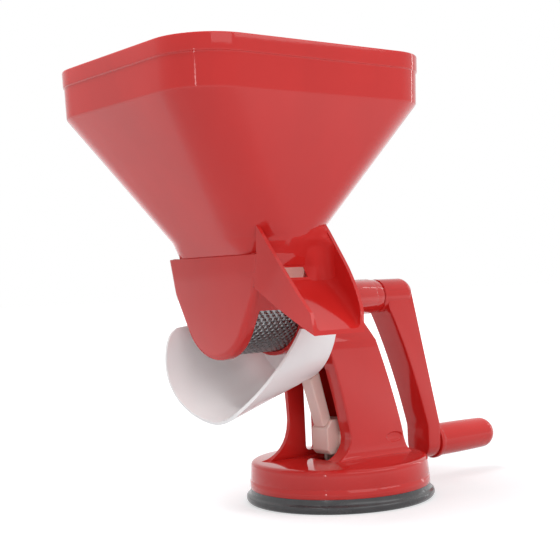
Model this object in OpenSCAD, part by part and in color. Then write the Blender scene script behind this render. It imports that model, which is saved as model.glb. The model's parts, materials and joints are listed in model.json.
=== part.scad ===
// Hand-cranked tomato press on a suction foot.
// Millimetres. +Z is up, the origin is the middle of the rubber foot on the table,
// +X points along the crank shaft to the crank, and -Y is the side of the skins chute.

/* [Drum] */
// Height of the crank axis above the table
axis_z = 132; // [120:1:150]
// Outer radius of the drum's round bottom
drum_r = 34; // [28:0.5:40]
// Length of the drum along the shaft
drum_l = 53; // [44:1:70]
// Width of the drum at its waist, where its walls turn steeper
waist_w = 88; // [82:0.5:92]
// Width of the drum at the throat
throat_w = 98; // [92:0.5:102]
// Height of the hopper's throat above the crank axis
throat_rise = 30; // [26:1:36]
// Wall of the drum, the hopper and the chute
shell = 2.6; // [2:0.1:3.2]
// Radius of the rounded edge at the drum's closed end
end_round = 4; // [3:0.5:6]
// Width of the two end bands that carry the sieve
band_w = 8.5; // [7:0.5:10]

/* [Hopper] */
// Length of the hopper's mouth along the shaft
mouth_l = 186.5; // [150:0.5:220]
// Width of the hopper's mouth
mouth_w = 166.6; // [140:0.1:200]
// Corner radius of the mouth
mouth_r = 34; // [20:1:45]
// Height of the mouth's upright band
rim_h = 29.6; // [20:0.1:40]
// Height of the stepped lip at the top of the band
lip_h = 10; // [6:1:14]
// How far the lip stands out
lip_out = 0.7; // [0.4:0.1:1.2]
// Height of the sloping funnel
funnel_h = 90; // [70:1:110]
// How far the mouth reaches past the drum's closed end
mouth_over = 65; // [50:1:80]

/* [Skins chute] */
// How far the chute's lip stands out from the crank axis
chute_reach = 90; // [80:1:105]
// Height of the chute's lip below the crank axis
chute_drop = 18; // [12:1:24]
// Height of the side walls at the lip
chute_side = 12.5; // [9:0.5:16]
// Width of the slot that lets the skins out
slot_w = 15.6; // [12:0.2:20]
// Height of the slot
slot_h = 6.2; // [5:0.2:8]

/* [Sieve] */
// Thickness of the perforated sheet
sieve_t = 0.8; // [0.6:0.1:1.2]
// Diameter of the sieve's holes
sieve_hole = 2.4; // [1.6:0.1:3]
// Distance between holes along the shaft
sieve_pitch = 4.6; // [4:0.1:6]

/* [Rotor] */
// Radius of the rotor's core
core_r = 21; // [18:0.5:23]
// Thickness of a wiper blade
blade_t = 4; // [3:0.5:5]
// Gap between a blade's tip and the sieve
blade_gap = 0.4; // [0.3:0.1:0.8]
// How far a blade can be pushed in
blade_travel = 1.5; // [1:0.1:2]

/* [Shaft and barrel] */
// Diameter of the drive shaft
shaft_d = 10; // [9:0.5:12]
// Side of the shaft's square ends
square_s = 7; // [6:0.5:8]
// Outer diameter of the barrel that carries the shaft
barrel_d = 24; // [22:0.5:28]
// Length of the barrel
barrel_l = 81; // [70:1:95]
// Length of a shaft bush
bush_l = 14; // [10:1:20]
// Wall of a shaft bush
bush_t = 3; // [2:0.5:3.5]

/* [Crank] */
// Distance from the crank axis to the grip's axis
crank_throw = 105; // [90:0.5:107]
// Length of the crank's hub
hub_l = 28.3; // [26:0.1:34]
// Diameter of the crank's hub
hub_d = 23; // [21:0.5:26]
// How far the arm leans out between the hub and the grip
arm_lean = 22; // [10:1:30]
// Thickness of the arm beside the grip
arm_t = 12; // [9:0.5:14]
// Diameter of the grip
grip_d = 23; // [20:0.5:26]
// Length of the grip
grip_l = 61; // [50:0.5:80]

/* [Stand] */
// Depth of the column from front to back
column_d = 44; // [38:1:50]
// Wall of the column
column_wall = 3; // [2.5:0.1:4]
// Radius of the base's bottom edge
base_r = 59.7; // [55:0.1:68]
// Height of the top of the base
base_top = 28; // [26:0.5:31]

/* [Suction foot] */
// Radius of the rubber foot
cup_r = 62.5; // [58:0.1:72]
// Height of the rubber lip
cup_h = 9; // [7:0.5:11]
// Height of the lever's pivot above the table
pivot_z = 41; // [39:0.5:44]
// How far the lever swings to lock the foot
lever_swing = 70; // [50:5:70]
// Offset of the lever's eccentric, which lifts the stem
eccentric = 3; // [2:0.1:3.4]
// Radius from the pivot to the lever's tip
lever_reach = 47.5; // [40:0.5:48]

/* [Juice tray] */
// Half width of the tray
tray_r = 43; // [41:0.5:48]
// Wall of the tray
tray_t = 2; // [1.5:0.1:2.5]
// Slope of the tray's floor
tray_slope = 18; // [10:1:20]
// Height of the tray's floor at its closed end
tray_floor = 80; // [76:1:82]

/* [Fits] */
// Radial clearance of a turning or sliding fit
fit = 0.06; // [0.03:0.01:0.1]
// Radial clearance between pieces that are fixed together
seat = 0.02; // [0.01:0.01:0.05]
// Gap between surfaces that pass each other
gap = 0.3; // [0.2:0.05:0.5]

/* [Hidden] */
$fn = 64;
eps = 0.02;
big = 400;

// Stations along the shaft
barrel_x0 = -44;
barrel_x1 = barrel_x0 + barrel_l;
drum_x1 = barrel_x0;
drum_x0 = drum_x1 - drum_l;
sieve_x0 = drum_x0 + shell + seat;
sieve_x1 = drum_x1 - shell - seat;
band_x0 = drum_x0 + band_w;
band_x1 = drum_x1 - band_w;

// Drum and hopper
throat_z = axis_z + throat_rise;
rim_z0 = throat_z + funnel_h;
rim_z1 = rim_z0 + rim_h;
rim_draft = 0.035;
mouth_x = drum_x0 - mouth_over + mouth_l / 2;
throat_r = 9;
waist_z = axis_z + 10.5;
sieve_edge_z = axis_z - 4;
sieve_r = drum_r - shell - 0.06;

slot_z = throat_z - 14.8;
// The angle below the crank axis where the drum's round bottom meets its walls
waist_reach = norm([waist_w / 2, waist_z - axis_z]);
touch_a = acos(drum_r / waist_reach) - atan2(waist_z - axis_z, waist_w / 2);
// The drum's outer half width between the waist and the throat, at height z
function half_width(z) = waist_w / 2 + (throat_w - waist_w) / 2 * (z - waist_z) / (throat_z - waist_z);

// Chute
wing_root_y = -48;
wing_in_left = 6;
wing_in_right = 10.4;
wing_tip_z = throat_z + 16.5;
wing_foot_z = throat_z - 19.2;
lip_z = axis_z - chute_drop;
slot_x = drum_x0 + 22;
steep_y = -half_width(slot_z) - 5;
steep_z = slot_z - 0.7;
guide_x = slot_x + slot_w + 1;
guide_t = 2.4;
guide_z = slot_z - 4;

// Shaft, bushes, rotor
bush_r = shaft_d / 2 + fit + bush_t;
spigot_r = bush_r + 1.6;
spigot_l = 6.5;
ring_t = 3;
rotor_x1 = barrel_x0 - spigot_l - 0.5;
rotor_x0 = sieve_x0 + 0.8;
nut_t = 5;
nut_af = 10;
stud_r = 3;
nut_pocket = 6;
flange_t = 1.2;
crank_x0 = barrel_x1 + flange_t + gap;
square_end = crank_x0 + 19.5;
screw_r = 2.5;
screw_head_r = 4.5;
blade_r = sieve_r - sieve_t - blade_gap;
blade_in = 12.5;
slot_floor_r = 8;
spring_r = 1.5;
spring_wire = 0.7;

// Crank and grip
grip_z = axis_z - crank_throw;
hub_x1 = crank_x0 + hub_l;
hub_round = 7;
boss_y = grip_d / 2 - 0.5;
arm_x1 = hub_x1 + arm_lean - 2.8;
grip_x0 = arm_x1 + gap;
grip_x1 = grip_x0 + grip_l;
pin_r = 4;
pin_head_r = 5.4;
pin_end = grip_x1 - 14;

// Stand and foot
in_y = column_d / 2 - column_wall;
base_wall = 3;
plate_z0 = cup_h + 3.2;
plate_z1 = plate_z0 + 2.8;
post_r = 3.6;
post_ring = base_r - 16;
cup_in_r = base_r - base_wall - 0.1;
boss_r = 14;
stem_r = 4;
stem_head_r = 9;
lift = 2 * eccentric * sin(lever_swing / 2);
head_z0 = 3.3;
head_t = 2.4;
pocket_top = head_z0 + head_t + lift + gap;
pivot_r = 2.5;
pivot_boss_r = 5.5;
hub_y = 8;
disc_r = 6;
disc_t = 3.2;
fork_y = hub_y + gap;
fork_t = 3;
eye_x = eccentric * (1 + cos(lever_swing / 2)) / 2;
eye_z = pivot_z - eccentric * sin(lever_swing / 2);
eye_r = disc_r + 0.45;
bar_z0 = plate_z1 + 1;
bar_t = 3;

// Juice tray
tray_x1 = barrel_x0 + 11;
lug_y = tray_r - tray_t - 0.5;
lug_z = axis_z - 5.5;
lug_t = 2.5;
hook_t = 2.5;
hook_l = 6;

red = [0.80, 0.13, 0.11];
cream = [0.93, 0.89, 0.84];
steel = [0.72, 0.73, 0.75];

// ---------- shared shapes ----------

// Points of a curve from a to c that is pulled towards b
function bend(a, b, c, n = 10) =
    [for (i = [0:n]) let (t = i / n) a * (1 - t) * (1 - t) + b * 2 * t * (1 - t) + c * t * t];

// A cylinder along +X
module rod_x(r, x0, x1, z = axis_z) translate([x0, 0, z]) rotate([0, 90, 0]) cylinder(r = r, h = x1 - x0);

// A cylinder along +Y
module rod_y(r, y0, y1, x, z) translate([x, y1, z]) rotate([90, 0, 0]) cylinder(r = r, h = y1 - y0);

// A square bar along +X, centred on the crank axis
module bar_x(s, x0, x1) translate([x0, -s / 2, axis_z - s / 2]) cube([x1 - x0, s, s]);

// A box given by its two corners
module block(a, b) translate(a) cube(b - a);

// An XZ outline given thickness from y0 to y1
module slab_y(y0, y1) translate([0, y1, 0]) rotate([90, 0, 0]) linear_extrude(y1 - y0) children();

// A YZ outline given thickness from x0 to x1
module slab_x(x0, x1) translate([x0, 0, 0]) rotate([90, 0, 90]) linear_extrude(x1 - x0) children();

// A rectangle with round corners
module round_rect(l, w, r) {
    square([l - 2 * r, w], center = true);
    square([l, w - 2 * r], center = true);
    for (x = [-1, 1], y = [-1, 1]) translate([x * (l / 2 - r), y * (w / 2 - r)]) circle(r = r, $fn = 48);
}

// ---------- hopper with drum and chute ----------

// Cross-section of the drum, cut in by inset: a round bottom and two leaning walls up to the throat
module drum_section(inset, top) {
    r = drum_r - inset;
    waist = waist_w / 2 - inset / cos(touch_a);
    wide = half_width(top) - inset * 1.02;
    translate([0, axis_z]) circle(r = r);
    polygon([[-r * cos(touch_a), axis_z - r * sin(touch_a)], [r * cos(touch_a), axis_z - r * sin(touch_a)],
             [waist, waist_z], [wide, top], [-wide, top], [-waist, waist_z]]);
}

// One level of the hopper, cut in by inset
module hopper_level(z, inset, out = 0) {
    draft = (rim_z1 - z) * rim_draft;
    shrink = 2 * (draft + inset - out);
    translate([mouth_x, 0, z]) linear_extrude(eps)
        round_rect(mouth_l - shrink, mouth_w - shrink, mouth_r - draft - inset + out);
}

module throat_level(z, inset) {
    translate([(drum_x0 + drum_x1) / 2, 0, z]) linear_extrude(eps)
        round_rect(drum_l - 2 * inset - 0.6, throat_w - 2 * inset - 0.6, throat_r - inset);
}

module funnel(inset, top, bottom) {
    hull() {
        hopper_level(top, inset);
        hopper_level(rim_z0, inset);
        throat_level(bottom, inset);
    }
}

// The drum's outer solid, with its edges rounded at both ends
module drum_body() {
    steps = 5;
    hull() for (i = [0:steps]) {
        a = 90 * i / steps;
        out = end_round * (1 - sin(a));
        slab_x(drum_x0 + out, drum_x1 - out) drum_section(end_round * (1 - cos(a)), throat_z);
    }
}

// Plan of the chute between its side walls, cut in by inset
module chute_plan(inset) {
    front = -chute_reach - inset;
    polygon(concat([[drum_x0 + inset, -30], [drum_x1 - inset, -30]],
        bend([drum_x1 - inset, wing_root_y], [drum_x1 - 0.2 - inset, -76], [drum_x1 - wing_in_right - inset, front], 6),
        bend([drum_x0 + wing_in_left + inset, front], [drum_x0 + 1 + inset, -74], [drum_x0 + inset, wing_root_y], 6)));
}

// Side view of a side wall
module wing_side() {
    polygon([[-38, wing_foot_z + 6], [1 - half_width(wing_foot_z), wing_foot_z], [-chute_reach, lip_z],
             [-chute_reach, lip_z + chute_side], [-48.5, wing_tip_z], [-44, wing_tip_z], [-38, throat_z]]);
}

// Side view of the space above the chute's floor
module chute_space() {
    polygon([[-half_width(slot_z + slot_h + 1), slot_z + slot_h + 1], [steep_y, steep_z],
             [-chute_reach - 5, lip_z + shell - 3.7], [-chute_reach - 5, big], [-44, big], [-44, throat_z]]);
}

// Side view of the space under the chute's floor
module chute_under() {
    root = -half_width(wing_foot_z);
    polygon([[root, wing_foot_z - 10], [root, steep_z - shell - 1], [steep_y - 1, steep_z - shell - 1],
             [-chute_reach + 4, lip_z + 2.5], [-chute_reach - 5, lip_z - 10]]);
}

module chute() {
    difference() {
        intersection() {
            slab_x(drum_x0, drum_x1) wing_side();
            linear_extrude(big) chute_plan(0);
        }
        intersection() {
            slab_x(drum_x0, drum_x1) chute_space();
            linear_extrude(big) chute_plan(shell - 0.2);
        }
        intersection() {
            slab_x(drum_x0, drum_x1) chute_under();
            linear_extrude(big) chute_plan(shell - 0.2);
        }
    }
}

// The thicker wall between the side walls, from the slot up to the funnel's face
module chute_back() slab_x(drum_x0 + 4, drum_x1 - 4)
    polygon([[-half_width(slot_z) + 1, slot_z + slot_h + 0.8], [-half_width(slot_z) - 2.6, slot_z + slot_h + 0.8],
             [-throat_w / 2 - 4.4, throat_z + 12], [-throat_w / 2 + 2, throat_z + 12]]);

// Lugs on the right end band that the juice tray hooks onto
module tray_lugs() {
    block([band_x1, drum_r - 3, lug_z - lug_t], [drum_x1 - 1.5, lug_y, lug_z]);
    block([band_x1, -lug_y, lug_z - lug_t], [drum_x1 - 1.5, 3 - drum_r, lug_z]);
}

module hopper() color(red) difference() {
    union() {
        funnel(0, rim_z1 - eps, throat_z - 0.5);
        hull() {
            hopper_level(rim_z1 - eps, 0, lip_out);
            hopper_level(rim_z1 - lip_h, 0, lip_out);
        }
        drum_body();
        chute();
        chute_back();
        tray_lugs();
    }
    funnel(shell, rim_z1 + 1, throat_z - 1);
    slab_x(drum_x0 + shell, drum_x1 - shell) drum_section(shell, throat_z + 1);
    block([band_x0, -lug_y - 1, axis_z - drum_r - 5], [band_x1, lug_y + 1, sieve_edge_z]);
    block([slot_x, -60, slot_z], [slot_x + slot_w, -25, slot_z + slot_h]);
    rod_x(spigot_r + seat, drum_x1 - shell - 1, drum_x1 + 1);
}

// The guide beside the slot that turns the skins out through it
module skins_guide() color(cream) difference() {
    intersection() {
        slab_x(guide_x, drum_x1 - shell - seat) drum_section(shell + seat, throat_z);
        union() {
            block([guide_x, -60, guide_z], [guide_x + guide_t, -10, slot_z + slot_h + 5]);
            block([guide_x, -60, guide_z], [drum_x1, -10, guide_z + guide_t]);
        }
    }
    rod_x(blade_r + 1, guide_x - 1, drum_x1);
}

// ---------- sieve ----------

module sieve() color(steel) difference() {
    rod_x(sieve_r, sieve_x0, sieve_x1);
    rod_x(sieve_r - sieve_t, sieve_x0 - 1, sieve_x1 + 1);
    block([sieve_x0 - 1, -big, sieve_edge_z + 3], [sieve_x1 + 1, big, axis_z + drum_r]);
    rows = 15;
    row_step = 130 / (rows - 1);
    columns = floor((band_x1 - band_x0 - 4) / sieve_pitch);
    for (i = [0:rows - 1], j = [0:columns - 1])
        translate([band_x0 + 4 + (j + (i % 2) / 2) * sieve_pitch, 0, axis_z])
            rotate([115 + i * row_step, 0, 0])
                translate([0, 0, sieve_r - sieve_t - 1]) cylinder(d = sieve_hole, h = sieve_t + 2, $fn = 16);
}

// ---------- stand ----------

// The column's right edge, in XZ
right_edge = concat(bend([11, axis_z - 6], [34, 83], [40.4, 42], 14), bend([40.4, 42], [41.5, 30], [50, base_top - 2], 6));
front_left = concat(bend([-31, axis_z - 6], [-12, 70], [-7.5, 42], 14), bend([-7.5, 42], [-7.5, 31], [-24, base_top - 2], 8));
back_left = concat(bend([-31, axis_z - 6], [-27, 80], [-25.4, 55], 10), bend([-25.4, 55], [-25, 30], [-52, base_top - 2], 10));

function reversed(list) = [for (i = [len(list) - 1:-1:0]) list[i]];

module column_front_side() polygon(concat(right_edge, reversed(front_left)));
module column_back_side() polygon(concat(right_edge, reversed(back_left)));

// The strip along the front plate's left edge, turned inwards
module column_flange() slab_y(-in_y - 1, -fork_y - fork_t - 0.4)
    polygon(concat(front_left, reversed([for (p = front_left) p + [column_wall, 0]])));

// The column seen from the end of the shaft
module column_end(inset) {
    deep = column_d / 2 - inset;
    shoulder = axis_z - 28 - inset;
    top = axis_z - 5 - inset;
    polygon([[-deep, 0], [deep, 0], [deep, shoulder], [barrel_d / 2 - inset, top],
             [-barrel_d / 2 + inset, top], [-deep, shoulder]]);
}

// The hollow inside the column, open towards -X
module column_hollow() {
    intersection() {
        slab_y(-in_y, in_y) difference() {
            translate([-80, base_top]) square([125, axis_z - barrel_d / 2 - 4 - base_top]);
            polygon(concat([for (p = right_edge) p - [column_wall + 0.6, 0]], [[200, base_top - 4], [200, axis_z]]));
        }
        slab_x(-90, 60) column_end(column_wall);
    }
}

// The base, turned about the Z axis
module base_ring() rotate_extrude($fn = 96) difference() {
    polygon(concat([[0, cup_h], [base_r, cup_h], [base_r, cup_h + 5.6], [base_r - 0.5, cup_h + 6.2]],
                   bend([base_r - 0.5, cup_h + 6.2], [base_r - 2.2, base_top - 2.2], [base_r - 12, base_top - 1.2], 8),
                   [[0, base_top]]));
    polygon([[0, cup_h - 1], [base_r - base_wall, cup_h - 1], [base_r - base_wall, base_top - 9],
             [base_r - base_wall - 7, base_top - 3.6], [0, base_top - 3]]);
}

module base_posts(r, z0, z1)
    for (i = [0:3]) rotate([0, 0, 45 + 90 * i]) translate([post_ring, 0, z0]) cylinder(r = r, h = z1 - z0);

module stand() color(red) difference() {
    union() {
        rod_x(barrel_d / 2, barrel_x0, barrel_x1);
        rod_x(spigot_r, barrel_x0 - spigot_l, barrel_x0 + 1);
        difference() {
            union() {
                intersection() {
                    slab_y(-column_d / 2, 0) column_front_side();
                    slab_x(-90, 60) column_end(0);
                }
                intersection() {
                    slab_y(0, column_d / 2) column_back_side();
                    slab_x(-90, 60) column_end(0);
                }
            }
            column_hollow();
            block([-12.4, 5, base_top + 3], [-4.6, 40, 88]);
        }
        intersection() {
            column_flange();
            slab_x(-90, 60) column_end(0);
        }
        base_ring();
        base_posts(post_r, plate_z1, base_top - 2);
        for (s = [-1, 1])
            rod_y(pivot_boss_r, min(s * (in_y + 1), s * (fork_y + fork_t + 0.5)),
                  max(s * (in_y + 1), s * (fork_y + fork_t + 0.5)), 0, pivot_z);
    }
    rod_x(bush_r + seat, barrel_x0 - spigot_l - 1, barrel_x0 - spigot_l + bush_l);
    rod_x(bush_r + seat, barrel_x1 - bush_l, barrel_x1 + 1);
    rod_x(bush_r - 1, barrel_x0 - spigot_l, barrel_x1);
    rod_y(pivot_r + seat, -column_d / 2 + 1.5, column_d / 2 + 1, 0, pivot_z);
    block([-19, -fork_y - fork_t - 0.6, base_top - 8], [14, fork_y + fork_t + 0.6, base_top + 0.5]);
    base_posts(1.3, plate_z1 - 1, base_top - 5);
}

module base_plate() color(cream) difference() {
    translate([0, 0, plate_z0]) cylinder(r = base_r - base_wall - 0.4, h = plate_z1 - plate_z0);
    translate([0, 0, plate_z0 - 1]) cylinder(r = stem_r + fit, h = 10);
    base_posts(1.6 + seat, plate_z0 - 1, plate_z1 + 1);
    base_posts(3 + seat, plate_z0 - 1, plate_z0 + 1.4);
}

module base_screws() color(steel) {
    base_posts(3, plate_z0 + 0.2, plate_z0 + 1.4);
    base_posts(1.3 - seat, plate_z0 + 1.4, base_top - 6);
}

// ---------- suction foot ----------

module suction_cup() color([0.25, 0.25, 0.26]) rotate_extrude($fn = 96) difference() {
    union() {
        polygon([[0, 0], [cup_r, 0], [cup_r, 1.4], [base_r + 0.6, cup_h - 0.2], [base_r, cup_h], [0, cup_h]]);
        translate([0, 0]) square([cup_in_r, plate_z0 - 0.2]);
    }
    translate([boss_r, 3]) square([cup_in_r - 4 - boss_r, 20]);
    translate([0, head_z0 - gap]) square([stem_head_r + gap, pocket_top - head_z0 + gap]);
    translate([0, head_z0]) square([stem_r + gap, plate_z0]);
}

module cup_stem() color(cream) {
    translate([0, 0, head_z0]) cylinder(r = stem_head_r, h = head_t);
    translate([0, 0, head_z0]) cylinder(r = stem_r, h = bar_z0 + 1 - head_z0);
    block([-4.2, -fork_y - fork_t, bar_z0], [9, fork_y + fork_t, bar_z0 + bar_t]);
    for (s = [0, 1]) mirror([0, s, 0]) difference() {
        union() {
            rod_y(eye_r + 3.4, fork_y, fork_y + fork_t, eye_x, eye_z);
            block([-3, fork_y, bar_z0], [8.6, fork_y + fork_t, eye_z]);
        }
        rod_y(eye_r, fork_y - 1, fork_y + fork_t + 1, eye_x, eye_z);
    }
}

module suction_lever() color(cream) difference() {
    union() {
        slab_y(-hub_y, hub_y)
            polygon([[-13.5, pivot_z - 11], [-16, pivot_z - 8], [-16, pivot_z + 6], [-11.5, pivot_z + 12],
                     [2, pivot_z + 12], [9, pivot_z + 5], [9, pivot_z - 5], [4, pivot_z - 11]]);
        intersection() {
            slab_y(-5, 5) polygon([[-16.4, pivot_z + 7], [-9, pivot_z + 10], [-18.5, pivot_z + 46], [-27, pivot_z + 44]]);
            rod_y(lever_reach, -6, 6, 0, pivot_z);
        }
        rod_y(disc_r, -hub_y - disc_t, hub_y + disc_t, eccentric * cos(lever_swing / 2), eye_z);
    }
    rod_y(pivot_r + fit, -20, 20, 0, pivot_z);
}

module lever_pin() color(steel) rod_y(pivot_r, -column_d / 2 + 1.7, column_d / 2 - 0.2, 0, pivot_z);

// ---------- shaft, bushes, rotor ----------

module bush_drum() color([0.85, 0.83, 0.78]) difference() {
    rod_x(bush_r, barrel_x0 - spigot_l, barrel_x0 - spigot_l + bush_l);
    rod_x(shaft_d / 2 + fit, barrel_x0 - spigot_l - 1, barrel_x0 - spigot_l + bush_l + 1);
}

module bush_crank() color([0.85, 0.83, 0.78]) difference() {
    union() {
        rod_x(bush_r, barrel_x1 - bush_l, barrel_x1);
        rod_x(bush_r + 2, barrel_x1, barrel_x1 + flange_t);
    }
    rod_x(shaft_d / 2 + fit, barrel_x1 - bush_l - 1, barrel_x1 + flange_t + 1);
}

module shaft_seal() color([0.15, 0.15, 0.15]) difference() {
    rod_x(bush_r - 1 - seat, barrel_x0 - spigot_l + bush_l, barrel_x0 - spigot_l + bush_l + 3);
    rod_x(shaft_d / 2 + fit, barrel_x0, barrel_x0 + 30);
}

module lock_ring() color(cream) difference() {
    rod_x(spigot_r + 4.5, drum_x1 - shell - ring_t, drum_x1 - shell);
    rod_x(spigot_r + seat, drum_x1 - 10, drum_x1);
    for (i = [0:5]) translate([0, 0, axis_z]) rotate([60 * i, 0, 0])
        translate([drum_x1 - shell - ring_t - 1, -1.5, spigot_r + 3]) cube([10, 3, 5]);
}

module drive_shaft() color(steel) difference() {
    union() {
        rod_x(shaft_d / 2, rotor_x1 + seat, crank_x0);
        bar_x(square_s, rotor_x0 + nut_pocket, rotor_x1 + 1);
        rod_x(stud_r, rotor_x0 + 0.4, rotor_x0 + nut_pocket + 1);
        bar_x(square_s, crank_x0 - 1, square_end);
    }
    rod_x(screw_r, square_end - 14, square_end + 1);
}

module rotor_core() color(cream) difference() {
    rod_x(core_r, rotor_x0, rotor_x1);
    bar_x(square_s + 2 * seat, rotor_x0 - 1, rotor_x1 + 1);
    rod_x(nut_af / sqrt(3) + 1.2, rotor_x0 - 1, rotor_x0 + nut_pocket);
    for (s = [0, 1]) translate([0, 0, axis_z]) mirror([0, 0, s])
        block([rotor_x0 - 1, -blade_t / 2 - fit, slot_floor_r], [rotor_x1 + 1, blade_t / 2 + fit, core_r + 5]);
}

module rotor_nut() color(steel) difference() {
    translate([rotor_x0 + 0.6, 0, axis_z]) rotate([0, 90, 0])
        cylinder(d = nut_af / cos(30), h = nut_t, $fn = 6);
    rod_x(stud_r + seat, rotor_x0 - 1, rotor_x0 + 10);
}

// Stations of the two springs under each blade
spring_x = [rotor_x0 + 13, rotor_x1 - 11];

// A wiper blade standing up from the crank axis
module blade() difference() {
    block([rotor_x0, -blade_t / 2, slot_floor_r + blade_travel + 0.4], [rotor_x1, blade_t / 2, blade_r - blade_t / 2]);
    for (x = spring_x) translate([x, 0, 0]) cylinder(r = spring_r + 0.3, h = blade_in);
}

module blade_tip() intersection() {
    translate([rotor_x0, 0, 0]) rotate([0, 90, 0]) cylinder(r = blade_r, h = rotor_x1 - rotor_x0);
    block([rotor_x0, -blade_t / 2, blade_r - blade_t / 2 - 1], [rotor_x1, blade_t / 2, blade_r + 1]);
}

module blade_upper() color(cream) translate([0, 0, axis_z]) {
    blade();
    blade_tip();
}

module blade_lower() color(cream) translate([0, 0, axis_z]) mirror([0, 0, 1]) {
    blade();
    blade_tip();
}

// Two small compression springs under a blade, each a stack of wire rings
module springs() {
    turns = 7;
    step = (blade_in - slot_floor_r - spring_wire) / (turns - 1);
    for (x = spring_x) translate([x, 0, slot_floor_r + spring_wire / 2])
        rotate_extrude($fn = 32) for (i = [0:turns - 1])
            translate([spring_r - spring_wire / 2, i * step]) circle(d = spring_wire, $fn = 16);
}

module springs_upper() color(steel) translate([0, 0, axis_z]) springs();
module springs_lower() color(steel) translate([0, 0, axis_z]) mirror([0, 0, 1]) springs();

// ---------- crank ----------

module crank_arm() color(red) difference() {
    union() {
        translate([0, 0, axis_z]) rotate([0, 90, 0]) rotate_extrude()
            polygon(concat([[0, crank_x0], [hub_d / 2, crank_x0]],
                [for (i = [0:8]) [hub_d / 2 - hub_round * (1 - cos(i * 90 / 8)),
                                  hub_x1 - hub_round * (1 - sin(i * 90 / 8))]], [[0, hub_x1]]));
        slab_y(-boss_y, boss_y)
            polygon(concat([[hub_x1 - 6, axis_z + 4], [hub_x1 - 2.8, axis_z], [arm_x1, grip_z + 12], [arm_x1, grip_z],
                            [arm_x1 - arm_t, grip_z]],
                bend([arm_x1 - arm_t, grip_z + 12], [arm_x1 - 27, axis_z - 40], [crank_x0 + 3, axis_z - 8], 10),
                [[crank_x0 + 3, axis_z]]));
        rod_x(boss_y, arm_x1 - arm_t, arm_x1, grip_z);
    }
    bar_x(square_s + 2 * seat, crank_x0 - 1, square_end + 0.5);
    rod_x(screw_r + 0.3, square_end, hub_x1 + 1);
    rod_x(screw_head_r + 0.4, square_end + 3, hub_x1 + 1);
    rod_x(pin_r + seat, arm_x1 - arm_t + 2, arm_x1 + 1, grip_z);
}

module crank_screw() color(steel) difference() {
    union() {
        rod_x(screw_r - seat, square_end - 12, square_end + 3.5);
        rod_x(screw_head_r, square_end + 3 + seat, square_end + 6);
    }
    translate([square_end + 4.5, 0, axis_z]) rotate([0, 90, 0]) cylinder(r = 2, h = 5, $fn = 6);
}

module grip_pin() color(steel) {
    rod_x(pin_r, arm_x1 - arm_t + 2.2, pin_end, grip_z);
    rod_x(pin_head_r, pin_end - 1, pin_end + 2, grip_z);
}

module crank_grip() color(red) translate([0, 0, grip_z]) rotate([0, 90, 0]) rotate_extrude() difference() {
    end_r = grip_d / 2 - 0.6;
    polygon(concat([[0, grip_x0], [grip_d / 2 + 0.9, grip_x0], [grip_d / 2 + 0.9, grip_x0 + 3.4],
                    [grip_d / 2 - 0.1, grip_x0 + 4.4]],
                   [for (i = [0:10]) [end_r * cos(9 * i), grip_x1 - end_r + end_r * sin(9 * i)]]));
    translate([0, grip_x0 - 1]) square([pin_r + fit, pin_end - grip_x0 + 1]);
    translate([0, pin_end - 1 - gap]) square([pin_head_r + gap, 3 + 2 * gap]);
}

// ---------- juice tray ----------

// The sloping trough, as a solid of radius r
module trough(r) translate([tray_x1, 0, tray_floor + tray_r / cos(tray_slope)]) rotate([0, -tray_slope, 0]) {
    translate([-100, 0, 0]) rotate([0, 90, 0]) cylinder(r = r, h = 150);
    block([-100, -r, 0], [50, r, 60]);
}

module tray_front_side() polygon(concat([[tray_x1, 60], [tray_x1, axis_z - 20], [-62, axis_z - 16]],
    bend([-62, axis_z - 16], [-76, 104], [-97, 67], 8), [[-99, 50], [-60, 50]]));

module tray_back_side() polygon(concat([[tray_x1, 60], [tray_x1, axis_z - 20], [-60, axis_z - 13], [-93, axis_z - 13]],
    bend([-93, axis_z - 13], [-105, 118], [-106, 98], 6), bend([-106, 98], [-108, 76], [-98, 55], 8), [[-60, 50]]));

// A hook on the back wall, from station x along the shaft, that hangs over a lug
module tray_hook(x) {
    top = lug_z + gap + hook_t;
    block([x, tray_r - tray_t, axis_z - 19], [x + hook_l, tray_r, top]);
    block([x, lug_y - 2.2, lug_z + gap], [x + hook_l, tray_r, top]);
}

module juice_tray() color([0.95, 0.95, 0.96]) {
    difference() {
        intersection() {
            trough(tray_r);
            union() {
                slab_y(-60, 0) tray_front_side();
                slab_y(0, 60) tray_back_side();
            }
        }
        difference() {
            trough(tray_r - tray_t);
            block([tray_x1 - tray_t, -60, 0], [tray_x1 + 20, 60, 200]);
        }
        rod_x(drum_r + 1.5, -150, 0);
    }
    tray_hook(band_x1);
    mirror([0, 1, 0]) tray_hook(band_x1);
}

stand();
base_plate();
base_screws();
suction_cup();
cup_stem();
suction_lever();
lever_pin();
bush_drum();
bush_crank();
shaft_seal();
hopper();
lock_ring();
skins_guide();
sieve();
juice_tray();
drive_shaft();
rotor_core();
rotor_nut();
blade_upper();
blade_lower();
springs_upper();
springs_lower();
crank_arm();
crank_screw();
grip_pin();
crank_grip();
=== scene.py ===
"""Looks of a hand-cranked tomato press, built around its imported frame."""

import json
import math

import bmesh
import bpy
import numpy as np
from mathutils import Matrix, Vector


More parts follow.
